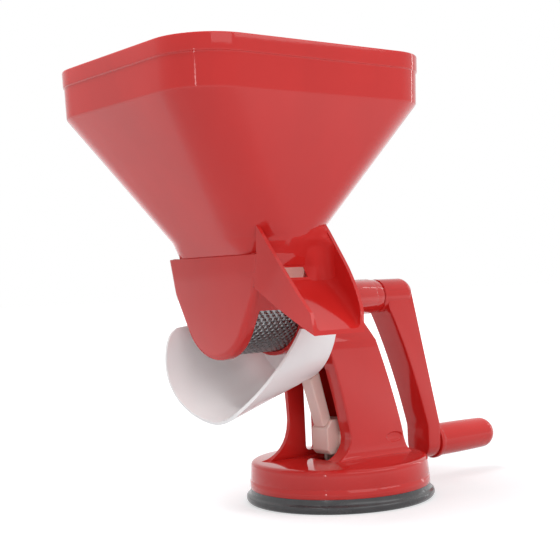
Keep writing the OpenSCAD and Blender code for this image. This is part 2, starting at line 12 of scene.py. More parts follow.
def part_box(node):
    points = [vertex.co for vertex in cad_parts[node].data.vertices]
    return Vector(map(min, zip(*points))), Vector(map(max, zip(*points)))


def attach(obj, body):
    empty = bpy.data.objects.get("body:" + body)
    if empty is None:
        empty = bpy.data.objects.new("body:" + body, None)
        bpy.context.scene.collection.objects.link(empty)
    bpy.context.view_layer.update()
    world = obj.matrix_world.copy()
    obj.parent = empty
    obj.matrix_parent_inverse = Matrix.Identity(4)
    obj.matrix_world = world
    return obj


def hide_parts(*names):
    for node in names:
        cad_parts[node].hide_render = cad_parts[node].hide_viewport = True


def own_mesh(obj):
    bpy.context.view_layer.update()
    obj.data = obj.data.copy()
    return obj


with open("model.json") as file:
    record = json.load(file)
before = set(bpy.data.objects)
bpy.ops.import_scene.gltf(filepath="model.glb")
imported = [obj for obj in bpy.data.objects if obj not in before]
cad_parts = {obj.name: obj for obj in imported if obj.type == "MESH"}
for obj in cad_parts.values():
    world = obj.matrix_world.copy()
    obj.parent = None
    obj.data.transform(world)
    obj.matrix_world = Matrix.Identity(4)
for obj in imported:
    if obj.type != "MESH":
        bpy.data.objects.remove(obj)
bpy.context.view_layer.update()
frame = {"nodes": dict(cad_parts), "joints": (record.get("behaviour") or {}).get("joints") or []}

bl_info = {
    "name": "Tomato Press Looks",
    "version": (1, 0, 0),
    "blender": (4, 5, 0),
    "location": "3D View > Sidebar > Tomato Press",
    "description": "Builds the visible pieces and finishes of a hand-cranked tomato press",
    "category": "Object",
}

MM = 0.001
ROOT_LOW = 151.5 * MM        # the lowest point of the chute's roots inside the drum
SPRING_TURNS = 7.0
JOINTS = {joint["name"]: joint for joint in frame["joints"]}
AXIS_Z = JOINTS["crank_spin"]["pos_m"][2]
GRIP_Z = JOINTS["grip_spin"]["pos_m"][2]
PIVOT_Z = JOINTS["lever_swing"]["pos_m"][2]
HOPPER_LOW, HOPPER_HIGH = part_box("hopper")
STAND_LOW, STAND_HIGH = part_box("stand")
CUP_LOW, CUP_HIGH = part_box("suction_cup")
SIEVE_LOW, SIEVE_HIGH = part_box("sieve")
TRAY_LOW, TRAY_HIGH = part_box("juice_tray")
ARM_LOW, ARM_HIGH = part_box("crank_arm")
GRIP_LOW, GRIP_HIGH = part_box("crank_grip")


# ---------- settings ----------

def length(name, description, millimetres):
    """A length setting, given in millimetres and held in metres."""
    return bpy.props.FloatProperty(name=name, description=description, default=millimetres * MM,
                                   min=0.0, unit="LENGTH", precision=5)


def number(name, description, default):
    """A plain number setting."""
    return bpy.props.FloatProperty(name=name, description=description, default=default)


def turn(name, description, degrees):
    """An angle setting, given in degrees."""
    return bpy.props.FloatProperty(name=name, description=description, default=math.radians(degrees),
                                   unit="ROTATION")


def colour(name, description, red, green, blue):
    """A colour setting, given as screen values from 0 to 255."""
    linear = [((c / 255 + 0.055) / 1.055) ** 2.4 if c > 10 else c / 3295 for c in (red, green, blue)]
    return bpy.props.FloatVectorProperty(name=name, description=description, default=linear,
                                         subtype="COLOR", min=0.0, max=1.0)


class PressShell(bpy.types.PropertyGroup):
    """Sizes of the hopper, its drum and the skins chute."""

    wall: length("Wall", "Thickness of the hopper's, drum's and chute's walls", 2.6)
    rim_height: length("Rim height", "Height of the upright band at the mouth", 29.6)
    lip_height: length("Lip height", "Height of the stepped lip on the band", 10.0)
    lip_out: length("Lip step", "How far the lip stands out from the band", 0.7)
    mouth_radius: length("Mouth corner", "Corner radius of the mouth", 34.0)
    draft: number("Draft", "How much the band narrows per length of height", 0.035)
    throat_rise: length("Throat rise", "Height of the throat above the crank axis", 30.0)
    throat_width: length("Throat width", "Width of the throat from front to back", 98.0)
    throat_radius: length("Throat corner", "Corner radius of the funnel at the throat", 19.5)
    shoulder_radius: length("Shoulder corner", "Corner radius of the funnel 10 mm above the throat", 30.0)
    drum_radius: length("Drum radius", "Radius of the drum's round bottom", 34.0)
    drum_length: length("Drum length", "Length of the drum along the shaft", 53.0)
    drum_right: length("Drum end", "Distance from the column's middle to the drum's near end", 44.0)
    waist_width: length("Waist width", "Width of the drum where its walls turn steeper", 87.2)
    waist_rise: length("Waist rise", "Height of the waist above the crank axis", 7.5)
    end_round: length("End rounding", "Radius of the drum's rounded ends", 4.0)
    band: length("End band", "Width of the two bands beside the sieve's window", 8.5)
    window_drop: length("Window drop", "Height of the window's upper edge below the crank axis", 4.0)
    slot_left: length("Slot place", "Distance from the drum's far end to the skins slot", 20.6)
    slot_width: length("Slot width", "Width of the skins slot", 15.0)
    slot_height: length("Slot height", "Height of the skins slot", 6.2)
    slot_drop: length("Slot drop", "Height of the slot's lower edge below the throat", 14.8)
    chute_reach: length("Chute reach", "Distance from the shaft to the chute's lip", 90.0)
    chute_drop: length("Chute drop", "Height of the chute's lip below the crank axis", 18.0)
    chute_side: length("Chute side", "Height of the side walls at the lip", 12.5)
    lip_flare: length("Lip flare", "How far the chute's side walls flare and lean back at the lip", 1.3)
    chute_wall: length("Chute wall", "Thickness of the chute's side walls", 2.4)


class PressStand(bpy.types.PropertyGroup):
    """Sizes of the column, the base and the rubber foot."""

    base_radius: length("Base radius", "Radius of the base", 59.7)
    base_top: length("Base top", "Height of the top of the base", 28.0)
    groove: length("Groove", "Depth of the groove around the base", 0.45)
    barrel_radius: length("Barrel radius", "Radius of the barrel that carries the shaft", 12.0)
    barrel_left: length("Barrel start", "Distance from the column's middle to the barrel's drum end", 44.0)
    barrel_right: length("Barrel end", "Distance from the column's middle to the barrel's crank end", 38.1)
    column_depth: length("Column depth", "Depth of the column from front to back", 44.0)
    column_wall: length("Column wall", "Thickness of the column's walls", 3.0)
    flange_gap: length("Flange gap", "Half the gap behind the front plate's turned edge", 11.7)
    cup_radius: length("Foot radius", "Radius of the rubber foot", 62.5)
    cup_height: length("Foot height", "Height of the rubber lip", 9.0)


class PressParts(bpy.types.PropertyGroup):
    """Sizes of the sieve, the juice tray, the crank and the lever."""

    hole_pitch: length("Hole pitch", "Distance between the sieve's holes along the shaft", 4.4)
    hole_rise: length("Row pitch", "Distance between the rows of holes around the sieve", 2.25)
    hole: length("Hole", "Diameter of the sieve's holes", 1.9)
    sheet: length("Sheet", "Thickness of the perforated sheet", 0.8)
    tray_radius: length("Tray radius", "Half the width of the juice tray", 43.0)
    tray_wall: length("Tray wall", "Thickness of the tray's wall", 2.0)
    tray_floor: length("Tray floor", "Height of the tray's floor at its closed end", 80.0)
    tray_end: length("Tray end", "Distance from the column's middle to the tray's closed end", 33.0)
    tray_slope: turn("Tray slope", "Slope of the tray's floor", 18.0)
    hub_start: length("Hub start", "Distance from the column's middle to the crank's hub", 38.5)
    hub_length: length("Hub length", "Length of the crank's hub", 28.3)
    hub_radius: length("Hub radius", "Radius of the crank's hub", 11.5)
    hub_round: length("Hub rounding", "Radius of the hub's outer edge", 7.0)
    arm_thickness: length("Arm thickness", "Thickness of the arm beside the grip", 12.0)
    arm_width: length("Arm width", "Width of the arm from front to back", 22.0)
    grip_radius: length("Grip radius", "Radius of the grip", 11.5)
    spring_radius: length("Spring radius", "Outer radius of the springs under the blades", 1.5)
    spring_wire: length("Spring wire", "Thickness of the springs' wire", 0.7)
    lever_block: length("Lever block", "Half the width of the lever's block", 8.0)
    lever_arm: length("Lever arm", "Half the width of the lever's arm", 5.0)


class PressColours(bpy.types.PropertyGroup):
    """Colours of the finishes."""

    red: colour("Red", "Glossy moulded plastic", 208, 42, 39)
    # The cream's pink tint is partly painted light: red light bounced from the stand, over the plastic's own
    # cream.
    cream: colour("Cream", "Satin moulded plastic", 234, 208, 199)
    white: colour("White", "Milky tray plastic", 255, 255, 255)
    rubber: colour("Rubber", "Moulded rubber", 62, 62, 64)
    steel: colour("Steel", "Perforated and turned steel", 196, 196, 198)
    acetal: colour("Acetal", "Natural bush plastic", 222, 218, 204)
    floor: colour("Floor", "Studio floor", 204, 204, 206)


class PressView(bpy.types.PropertyGroup):
    """Camera and light."""

    camera: bpy.props.FloatVectorProperty(name="Camera", description="Place of the camera", size=3,
                                          default=(-0.50825, -0.59433, 0.14710), subtype="TRANSLATION",
                                          unit="LENGTH")
    heading: turn("Heading", "Direction of view, from the +Y axis towards +X", 38.034)
    pitch: turn("Pitch", "How far the camera looks up", -0.081)
    roll: turn("Roll", "How far the camera is turned about its view", -2.505)
    lens: number("Lens", "Focal length in millimetres on a 36 mm sensor", 75.31)
    key: number("Key", "Power of the overhead softbox in watts", 15.0)
    fill: number("Fill", "Power of the fill softbox in watts", 2.5)
    front: number("Front", "Power of the front softbox in watts", 2.1)
    strips: number("Strips", "Power of the narrow strip lamps in watts", 0.6)
    sky: number("Sky", "Strength of the light from all round", 0.62)


# ---------- shared geometry ----------

def bend(start, pull, end, steps=10):
    """Points of a curve from start to end that is pulled towards a third point."""
    start, pull, end = (np.array(p, float) for p in (start, pull, end))
    t = np.linspace(0, 1, steps + 1)[:, None]
    return start * (1 - t) ** 2 + pull * 2 * t * (1 - t) + end * t ** 2


def chain(*runs):
    """Joins runs of points, without the points that repeat."""
    points = np.vstack([np.atleast_2d(run) for run in runs])
    keep = np.ones(len(points), bool)
    keep[1:] = np.linalg.norm(np.diff(points, axis=0), axis=1) > 1e-7
    return points[keep]


def soften(points, reach, steps=4, closed=False):
    """Rounds the corners of a line of points, starting each curve up to reach from its corner."""
    points = np.array(points, float)
    count = len(points)
    out = []
    for i, here in enumerate(points):
        if not closed and i in (0, count - 1):
            out.append(here[None])
            continue
        before, after = points[i - 1] - here, points[(i + 1) % count] - here
        a, b = np.linalg.norm(before), np.linalg.norm(after)
        out.append(bend(here + before / a * min(reach, a * 0.45), here,
                        here + after / b * min(reach, b * 0.45), steps))
    return np.vstack(out)


def rounded_rectangle(centre_x, half_length, half_width, radius, corner=12, side=8):
    """Points of a rectangle with round corners, with as many points at every size."""
    out = []
    for quarter, (sx, sy) in enumerate(((1, 1), (-1, 1), (-1, -1), (1, -1))):
        angles = np.radians(90 * quarter + np.linspace(0, 90, corner + 1))
        cx, cy = sx * (half_length - radius), sy * (half_width - radius)
        arc = np.column_stack([cx + radius * np.cos(angles), cy + radius * np.sin(angles)])
        out.append(arc)
    ring = []
    for quarter, arc in enumerate(out):
        following = out[(quarter + 1) % 4]
        t = np.linspace(0, 1, side + 1)[1:-1, None]
        ring += [arc, arc[-1] * (1 - t) + following[0] * t]
    ring = np.vstack(ring)
    ring[:, 0] += centre_x
    return ring


def add_mesh(name, points, faces):
    """A mesh object in the scene, from points in metres."""
    mesh = bpy.data.meshes.new(name)
    mesh.from_pydata([tuple(map(float, p)) for p in points], [], [tuple(map(int, f)) for f in faces])
    piece = bpy.data.objects.new(name, mesh)
    bpy.context.scene.collection.objects.link(piece)
    return piece


def loft(name, rings, closed=True, caps=(), wrap=False, skip=None):
    """A surface through rings of points. caps lists the end rings, 0 or -1, that are filled."""
    rings = np.array(rings, float)
    count, size, _ = rings.shape
    faces = []
    for i in range(count if wrap else count - 1):
        for j in range(size if closed else size - 1):
            if skip is not None and skip(i, j):
                continue
            k, m = (i + 1) % count, (j + 1) % size
            faces.append((i * size + j, i * size + m, k * size + m, k * size + j))
    for cap in caps:
        start = (count - 1) * size if cap else 0
        faces.append(tuple(range(start, start + size)))
    return add_mesh(name, rings.reshape(-1, 3), faces)


def lathe(name, profile, axis="Z", centre=(0.0, 0.0, 0.0), steps=128):
    """Turns a profile of (radius, height) points about an axis through centre."""
    angles = np.linspace(0, 2 * np.pi, steps, endpoint=False)
    rings = []
    for radius, height in profile:
        a, b, h = radius * np.cos(angles), radius * np.sin(angles), np.full(steps, height)
        rings.append(np.column_stack([a, b, h] if axis == "Z" else [h, a, b]) + np.array(centre))
    piece = loft(name, rings)
    tidy(piece)
    return piece


def tidy(piece, inside=None):
    """Merges points that meet and turns the faces outwards, or away from a point inside an open sheet."""
    work = bmesh.new()
    work.from_mesh(piece.data)
    bmesh.ops.remove_doubles(work, verts=work.verts, dist=1e-6)
    bmesh.ops.dissolve_degenerate(work, edges=work.edges, dist=1e-7)
    bmesh.ops.recalc_face_normals(work, faces=work.faces)
    if inside is not None:
        middle = Vector(inside)
        work.normal_update()
        outward = sum((f.calc_center_median() - middle).dot(f.normal) * f.calc_area() for f in work.faces)
        if outward < 0:
            bmesh.ops.reverse_faces(work, faces=work.faces)
    work.to_mesh(piece.data)
    work.free()


def join(pieces, name):
    """One object from several meshes."""
    points, faces = [], []
    for piece in pieces:
        start = len(points)
        points += [v.co.copy() for v in piece.data.vertices]
        faces += [tuple(start + i for i in p.vertices) for p in piece.data.polygons]
    for piece in pieces:
        bpy.data.objects.remove(piece)
    return add_mesh(name, points, faces)


def prism(name, outline, low, high, axis="Y"):
    """An outline given thickness along an axis. A Y prism's outline is (x, z); an X prism's is (y, z)."""
    rings = []
    for level in (low, high):
        if axis == "Y":
            rings.append([(x, level, z) for x, z in outline])
        else:
            rings.append([(level, y, z) for y, z in outline])
    piece = loft(name, rings, caps=(0, -1))
    tidy(piece)
    return piece


def carve(piece, cutter):
    """Cuts one mesh out of another and removes the cutter."""
    cut = piece.modifiers.new("cut", "BOOLEAN")
    cut.operation = "DIFFERENCE"
    cut.solver = "EXACT"
    cut.object = cutter
    shaped = piece.evaluated_get(bpy.context.evaluated_depsgraph_get())
    mesh = bpy.data.meshes.new_from_object(shaped)
    piece.modifiers.clear()
    piece.data = mesh
    bpy.data.objects.remove(cutter)


def dress(piece, finish, body, node=None, thickness=None, edge=None, edge_angle=38, segments=3):
    """Smooths a piece, thickens it, rounds its edges, gives it its finish and lets it ride on a body."""
    mesh = piece.data
    mesh.polygons.foreach_set("use_smooth", [True] * len(mesh.polygons))
    if thickness:
        skin = piece.modifiers.new("thickness", "SOLIDIFY")
        skin.thickness = thickness
        skin.offset = -1
        skin.use_even_offset = True
        skin.use_quality_normals = True
    if edge:
        rounding = piece.modifiers.new("edges", "BEVEL")
        rounding.width = edge
        rounding.segments = segments
        rounding.limit_method = "ANGLE"
        rounding.angle_limit = math.radians(edge_angle)
        rounding.harden_normals = True
        rounding.miter_outer = "MITER_ARC"
    else:
        mesh.set_sharp_from_angle(angle=math.radians(edge_angle))
    mesh.materials.clear()
    mesh.materials.append(finish)
    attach(piece, body)
    if node:
        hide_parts(*([node] if isinstance(node, str) else node))
    return piece


def finish_node(node, finish, edge=0.25 * MM):
    """Gives a carried-over part its finish and small rounded edges."""
    part = frame["nodes"][node]
    part.data.materials.clear()
    part.data.materials.append(finish)
    weld = part.modifiers.new("weld", "WELD")
    weld.merge_threshold = 1e-6
    rounding = part.modifiers.new("edges", "BEVEL")
    rounding.width = edge
    rounding.segments = 2
    rounding.limit_method = "ANGLE"
    rounding.angle_limit = math.radians(40)
    rounding.harden_normals = True


# ---------- finishes ----------

def node_link(tree, source, target):
    """Joins an output to an input."""
    tree.links.new(source, target)


def new_finish(name):
    """An empty node material and its shader."""
    name = "press_" + name
    material = bpy.data.materials.get(name)
    if material:
        return material, None, None
    material = bpy.data.materials.new(name)
    material.use_nodes = True
    return material, material.node_tree, material.node_tree.nodes["Principled BSDF"]


def grain(tree, scale, detail=3.0, rough=0.5, stretch=(1.0, 1.0, 1.0)):
    """A noise pattern fixed to the piece. scale is in features per metre."""
    place = tree.nodes.new("ShaderNodeTexCoord")
    sizing = tree.nodes.new("ShaderNodeMapping")
    sizing.inputs["Scale"].default_value = stretch
    noise = tree.nodes.new("ShaderNodeTexNoise")
    noise.inputs["Scale"].default_value = scale
    noise.inputs["Detail"].default_value = detail
    noise.inputs["Roughness"].default_value = rough
    node_link(tree, place.outputs["Object"], sizing.inputs["Vector"])
    node_link(tree, sizing.outputs["Vector"], noise.inputs["Vector"])
    return noise.outputs["Fac"]


def between(tree, factor, low, high, start=0.35, stop=0.65):
    """Maps a pattern onto a range of numbers."""
    scaling = tree.nodes.new("ShaderNodeMapRange")
    scaling.inputs["From Min"].default_value = start
    scaling.inputs["From Max"].default_value = stop
    scaling.inputs["To Min"].default_value = low
    scaling.inputs["To Max"].default_value = high
    node_link(tree, factor, scaling.inputs["Value"])
    return scaling.outputs["Result"]


def multiplied(tree, first, second):
    """The product of two patterns."""
    product = tree.nodes.new("ShaderNodeMath")
    product.operation = "MULTIPLY"
    node_link(tree, first, product.inputs[0])
    node_link(tree, second, product.inputs[1])
    return product.outputs["Value"]


def shades(tree, factor, first, second):
    """Blends two colours by a pattern."""
    mix = tree.nodes.new("ShaderNodeMix")
    mix.data_type = "RGBA"
    mix.inputs["A"].default_value = (*first, 1.0)
    mix.inputs["B"].default_value = (*second, 1.0)
    node_link(tree, factor, mix.inputs["Factor"])
    return mix.outputs["Result"]


def bumps(tree, shader, *layers):
    """Adds layers of small relief, each a pattern and its depth in metres."""
    previous = None
    for pattern, depth in layers:
        relief = tree.nodes.new("ShaderNodeBump")
        relief.inputs["Strength"].default_value = 1.0
        relief.inputs["Distance"].default_value = depth
        node_link(tree, pattern, relief.inputs["Height"])
        if previous:
            node_link(tree, previous, relief.inputs["Normal"])
        previous = relief.outputs["Normal"]
    node_link(tree, previous, shader.inputs["Normal"])


def tint(base, factor):
    """A colour made lighter or darker."""
    return tuple(min(1.0, c * factor) for c in base)


def moulded(name, base, rough, glow, flow=14.0, depth=0.01 * MM, shine=0.5):
    """Moulded plastic: slight flow marks, a soft skin texture and a few light scuffs."""
    material, tree, shader = new_finish(name)
    if tree is None:
        return material
    flow_marks = grain(tree, flow, 4.0, 0.55, (1.0, 1.0, 0.45))
    node_link(tree, shades(tree, between(tree, flow_marks, 0.0, 1.0), tint(base, 0.94), tint(base, 1.05)),
              shader.inputs["Base Color"])
    scuffs = grain(tree, 160.0, 8.0, 0.75, (1.0, 0.4, 1.0))
    node_link(tree, between(tree, scuffs, rough * 0.85, rough * 1.35, 0.4, 0.75), shader.inputs["Roughness"])
    bumps(tree, shader, (grain(tree, 40.0, 1.0), depth * 4), (grain(tree, 900.0, 2.0), depth * 0.3))
    shader.inputs["IOR"].default_value = 1.46
    shader.inputs["Specular IOR Level"].default_value = shine
    shader.inputs["Subsurface Weight"].default_value = glow
    shader.inputs["Subsurface Radius"].default_value = (1.0, 0.35, 0.3)
    shader.inputs["Subsurface Scale"].default_value = 3 * MM
    return material


def red_plastic():
    """The glossy red of the hopper, the stand and the crank."""
    return moulded("red_plastic", press().colours.red, 0.07, 0.02, shine=0.4)


def satin_plastic():
    """The red plastic where the mould was not polished, around the skins slot."""
    return moulded("satin_plastic", press().colours.red, 0.34, 0.02, shine=0.15)


def cream_plastic():
    """The satin cream of the lever and the rotor, its pink tint partly painted red bounce light."""
    return moulded("cream_plastic", press().colours.cream, 0.36, 0.15)


def bush_plastic():
    """The natural plastic of the bushes."""
    return moulded("bush_plastic", press().colours.acetal, 0.42, 0.1)


def tray_plastic():
    """Milky plastic that lets light through."""
    material, tree, shader = new_finish("tray_plastic")
    if tree is None:
        return material
    base = press().colours.white
    cloud = grain(tree, 20.0, 4.0)
    node_link(tree, shades(tree, between(tree, cloud, 0.0, 1.0), tint(base, 0.985), tint(base, 1.0)),
              shader.inputs["Base Color"])
    node_link(tree, between(tree, grain(tree, 300.0, 2.0), 0.2, 0.22), shader.inputs["Roughness"])
    bumps(tree, shader, (grain(tree, 300.0, 2.0), 0.0005 * MM))
    shader.inputs["Subsurface Weight"].default_value = 0.1
    shader.inputs["Subsurface Radius"].default_value = (1.0, 1.0, 1.0)
    shader.inputs["Subsurface Scale"].default_value = 6 * MM
    shader.inputs["IOR"].default_value = 1.49
    return material


def foot_rubber():
    """Dark rubber with a soft sheen."""
    material, tree, shader = new_finish("foot_rubber")
    if tree is None:
        return material
    base = press().colours.rubber
    dust = grain(tree, 90.0, 6.0, 0.7)
    node_link(tree, shades(tree, between(tree, dust, 0.0, 1.0), tint(base, 0.85), tint(base, 1.2)),
              shader.inputs["Base Color"])
    node_link(tree, between(tree, grain(tree, 60.0, 3.0), 0.2, 0.28), shader.inputs["Roughness"])
    bumps(tree, shader, (grain(tree, 900.0, 2.0), 0.004 * MM))
    shader.inputs["IOR"].default_value = 1.52
    return material


def turned_steel():
    """Turned steel with fine rings along the shaft."""
    material, tree, shader = new_finish("turned_steel")
    if tree is None:
        return material
    base = press().colours.steel
    rings = grain(tree, 900.0, 2.0, 0.5, (1.0, 0.03, 0.03))
    node_link(tree, shades(tree, between(tree, rings, 0.0, 1.0), tint(base, 0.85), tint(base, 1.08)),
              shader.inputs["Base Color"])
    node_link(tree, between(tree, rings, 0.22, 0.36), shader.inputs["Roughness"])
    bumps(tree, shader, (rings, 0.01 * MM))
    shader.inputs["Metallic"].default_value = 1.0
    shader.inputs["Anisotropic"].default_value = 0.3
    return material


def sieve_steel():
    """Rolled stainless sheet with a slight haze between the holes; its colour is held at about two fifths of
    the steel colour, painted shade that darkens the whole sieve.
    """
    material, tree, shader = new_finish("sieve_steel")
    if tree is None:
        return material
    base = press().colours.steel
    haze = grain(tree, 240.0, 6.0, 0.7)
    rolling = grain(tree, 700.0, 2.0, 0.5, (0.05, 1.0, 1.0))
    # The sheet's colour runs between 0.36 and 0.5 of the steel colour: painted shade, varied at random by the
    # haze pattern.
    node_link(tree, shades(tree, between(tree, haze, 0.0, 1.0), tint(base, 0.36), tint(base, 0.5)),
              shader.inputs["Base Color"])
    node_link(tree, between(tree, rolling, 0.22, 0.32), shader.inputs["Roughness"])
    bumps(tree, shader, (rolling, 0.012 * MM))
    shader.inputs["Metallic"].default_value = 1.0
    return material


def spring_wire():
    """Drawn spring wire."""
    material, tree, shader = new_finish("spring_wire")
    if tree is None:
        return material
    base = press().colours.steel
    draw = grain(tree, 1200.0, 3.0)
    node_link(tree, shades(tree, between(tree, draw, 0.0, 1.0), tint(base, 0.6), tint(base, 0.95)),
              shader.inputs["Base Color"])
    node_link(tree, between(tree, draw, 0.2, 0.35), shader.inputs["Roughness"])
    shader.inputs["Metallic"].default_value = 1.0
    return material


def press():
    """The settings of the current scene."""
    return bpy.context.scene.tomato_press


# ---------- hopper ----------

def mouth_level(z, cut):
    """Plan of the hopper's band at a height, cut in: (height, middle, half length, half width, corner)."""
    s = press().shell
    inset = (HOPPER_HIGH.z - z) * s.draft + cut
    middle = (HOPPER_LOW.x + HOPPER_HIGH.x) / 2
    half_length = (HOPPER_HIGH.x - HOPPER_LOW.x) / 2 - s.lip_out
    half_width = HOPPER_HIGH.y - s.lip_out
    return (z, middle, half_length - inset, half_width - inset, s.mouth_radius - inset)


def throat_level(z, cut, radius):
    """Plan of the throat at a height, cut in."""
    s = press().shell
    return (z, -s.drum_right - s.drum_length / 2, s.drum_length / 2 - 0.7 * MM - cut,
            s.throat_width / 2 - 0.3 * MM - cut, radius - cut)


def shoulder_level(cut):
    """Plan of the funnel just above the throat, where its corners have opened out."""
    s = press().shell
    throat = AXIS_Z + s.throat_rise
    low = np.array(throat_level(throat, 0.0, s.throat_radius))
    high = np.array(mouth_level(HOPPER_HIGH.z - s.rim_height, 0.0))
    z, middle, half_x, half_y, _ = low + (high - low) * 10 * MM / (high[0] - low[0])
    return (z, middle, half_x - cut, half_y - cut, s.shoulder_radius - cut)


def wall_height(x, depth):
    """Height at which the middle of the funnel's wall passes over a point in front of the shaft."""
    s = press().shell
    throat = AXIS_Z + s.throat_rise
    levels = np.array([throat_level(throat, s.wall / 2, s.throat_radius), shoulder_level(s.wall / 2),
                       mouth_level(HOPPER_HIGH.z - s.rim_height, s.wall / 2)])
    for height in np.linspace(throat, throat + 40 * MM, 200):
        z, middle, half_x, half_y, radius = [np.interp(height, levels[:, 0], column) for column in levels.T]
        dx, dy = abs(x - middle) - half_x + radius, depth - half_y + radius
        if math.hypot(max(dx, 0.0), max(dy, 0.0)) + min(max(dx, dy), 0.0) < radius:
            return z
    return throat + 40 * MM


def wall_depth(x, height):
    """How far in front of the shaft the funnel's outside is at a place and height."""
    s = press().shell
    throat = AXIS_Z + s.throat_rise
    levels = np.array([throat_level(throat, 0.0, s.throat_radius), shoulder_level(0.0),
                       mouth_level(HOPPER_HIGH.z - s.rim_height, 0.0)])
    _, middle, half_x, half_y, radius = [np.interp(height, levels[:, 0], column) for column in levels.T]
    dx = max(0.0, abs(x - middle) - half_x + radius)
    return half_y - radius + math.sqrt(max(0.0, radius ** 2 - dx ** 2))


def add_funnel():
    """The funnel with its upright band and stepped lip, from the throat up and down again inside."""
    s = press().shell
    top = HOPPER_HIGH.z
    band = top - s.rim_height
    lip = top - s.lip_height
    throat = AXIS_Z + s.throat_rise
    corner = s.throat_radius
    outside = [throat_level(throat - 2 * MM, 0.6 * MM, 5 * MM),
               throat_level(throat - 0.2 * MM, 0.6 * MM, 5 * MM),
               throat_level(throat - 0.1 * MM, 0.0, corner), shoulder_level(0.0), mouth_level(band, 0.0),
               mouth_level(lip, 0.0), mouth_level(lip, -s.lip_out), mouth_level(top, -s.lip_out)]
    inside = [mouth_level(top, s.wall), mouth_level(band, s.wall), shoulder_level(s.wall),
              throat_level(throat + 1 * MM, s.wall, corner),
              throat_level(throat - 2 * MM, s.wall, 6 * MM)]
    levels = soften(outside + inside, 1.1 * MM, 3)
    rings = []
    for z, centre, half_x, half_y, radius in levels:
        outline = rounded_rectangle(centre, half_x, half_y, radius, 14, 6)
        rings.append(np.column_stack([outline, np.full(len(outline), z)]))
    piece = loft("hopper_funnel", rings, wrap=True)
    tidy(piece)
    dress(piece, red_plastic(), "stand", "hopper", edge_angle=30)


def drum_outline(inset):
    """The drum's outline seen along the shaft, as (y, z), from the front top edge round to the back."""
    s = press().shell
    reach = math.hypot(s.waist_width / 2, s.waist_rise)
    touch = math.acos(s.drum_radius / reach) - math.atan2(s.waist_rise, s.waist_width / 2)
    radius = s.drum_radius - inset
    low = np.array([radius * math.cos(touch), AXIS_Z - radius * math.sin(touch)])
    waist = np.array([s.waist_width / 2 - inset / math.cos(touch), AXIS_Z + s.waist_rise])
    high = np.array([s.throat_width / 2 - inset * 1.02, AXIS_Z + s.throat_rise])

    def on_line(a, b, z):
        return a + (b - a) * (z - a[1]) / (b[1] - a[1])

    slot_low, slot_high = slot_levels()
    edge = AXIS_Z - s.window_drop
    arc = -touch - np.linspace(0, 1, 17) * (math.pi / 2 - touch)
    half = chain(high, on_line(high, waist, slot_high + 1 * MM), on_line(high, waist, slot_low - 1 * MM),
                 bend(on_line(high, waist, waist[1] + 2.4 * MM), waist,
                      on_line(waist, low, waist[1] - 2.4 * MM), 4),
                 on_line(waist, low, edge),
                 np.column_stack([radius * np.cos(arc), AXIS_Z + radius * np.sin(arc)]))
    front = half * (-1, 1)
    return np.vstack([front, half[::-1][1:]])


def slot_levels():
    """Heights of the skins slot's lower and upper edges."""
    s = press().shell
    low = AXIS_Z + s.throat_rise - s.slot_drop
    return low, low + s.slot_height


def add_drum():
    """The drum: a shell with round ends, a window for the sieve below and a slot for the skins."""
    s = press().shell
    right = -s.drum_right
    left = right - s.drum_length
    slot_left = left + s.slot_left
    window = (left + s.band, right - s.band)
    opening = (slot_left - 1 * MM, right - 9.5 * MM)
    turns = np.radians(np.linspace(90, 0, 7))
    stations = [(left + s.end_round * (1 - math.sin(a)), s.end_round * (1 - math.cos(a))) for a in turns]
    between_ends = sorted([*window, *opening, left + 6 * MM, left + 15 * MM, left + 28 * MM, right - 6 * MM])
    stations += [(x, 0.0) for x in between_ends]
    stations += [(right - s.end_round * (1 - math.sin(a)), s.end_round * (1 - math.cos(a)))
                 for a in turns[::-1]]
    rings = []
    for x, inset in stations:
        outline = drum_outline(inset)
        rings.append(np.column_stack([np.full(len(outline), x), outline]))
    xs = [x for x, _ in stations]
    heights = drum_outline(0.0)[:, 1]
    sides = drum_outline(0.0)[:, 0]
    slot_low, slot_high = slot_levels()
    edge = AXIS_Z - s.window_drop + 0.01 * MM

    def is_open(i, j):
        x = (xs[i] + xs[i + 1]) / 2
        z = (heights[j] + heights[j + 1]) / 2
        y = (sides[j] + sides[j + 1]) / 2
        in_window = window[0] < x < window[1] and z < edge
        in_slot = opening[0] < x < opening[1] and slot_low - 1 * MM < z < slot_high + 1 * MM and y < 0
        return in_window or in_slot

    piece = loft("hopper_drum", rings, closed=False, caps=(0, -1), skip=is_open)
    tidy(piece, inside=((left + right) / 2, 0.0, AXIS_Z + 10 * MM))
    dress(piece, red_plastic(), "stand", "hopper", thickness=s.wall, edge=0.45 * MM,
          edge_angle=50, segments=2)


def chute_plan(depth):
    """The outer sides of the chute at a distance in front of the shaft, as two x values."""
    s = press().shell
    right = -s.drum_right + 0.02 * MM
    left = -s.drum_right - s.drum_length - 0.02 * MM
    reach = s.chute_reach
    left_side = bend((left, 48 * MM), (left + 1 * MM, 74 * MM), (left + 6 * MM, reach), 24)
    right_side = bend((right, 48 * MM), (right, 76 * MM), (right - 9.4 * MM, reach), 24)
    return (np.interp(depth, left_side[:, 1], left_side[:, 0]),
            np.interp(depth, right_side[:, 1], right_side[:, 0]))


def chute_levels(depth):
    """Heights of the side walls' top and bottom and of the floor's top and underside."""
    s = press().shell
    throat = AXIS_Z + s.throat_rise
    lip = AXIS_Z - s.chute_drop
    slot_low, _ = slot_levels()
    reach = s.chute_reach
    top = (lip + s.chute_side
           + (reach - depth) * (throat + 16.5 * MM - lip - s.chute_side) / (reach - 48.5 * MM))
    bottom = lip + (reach - depth) * (throat - 19.2 * MM - lip) / (reach - 43 * MM)
    steep = 50.2 * MM
    floor = slot_low - 0.7 * MM - max(0.0, depth - steep) * 0.75
    under = slot_low - 4.3 * MM - max(0.0, depth - steep - 1 * MM) * 0.7586
    if depth > reach - 4 * MM:
        under = bottom
    return top, bottom, floor, max(under, bottom + 0.05 * MM)


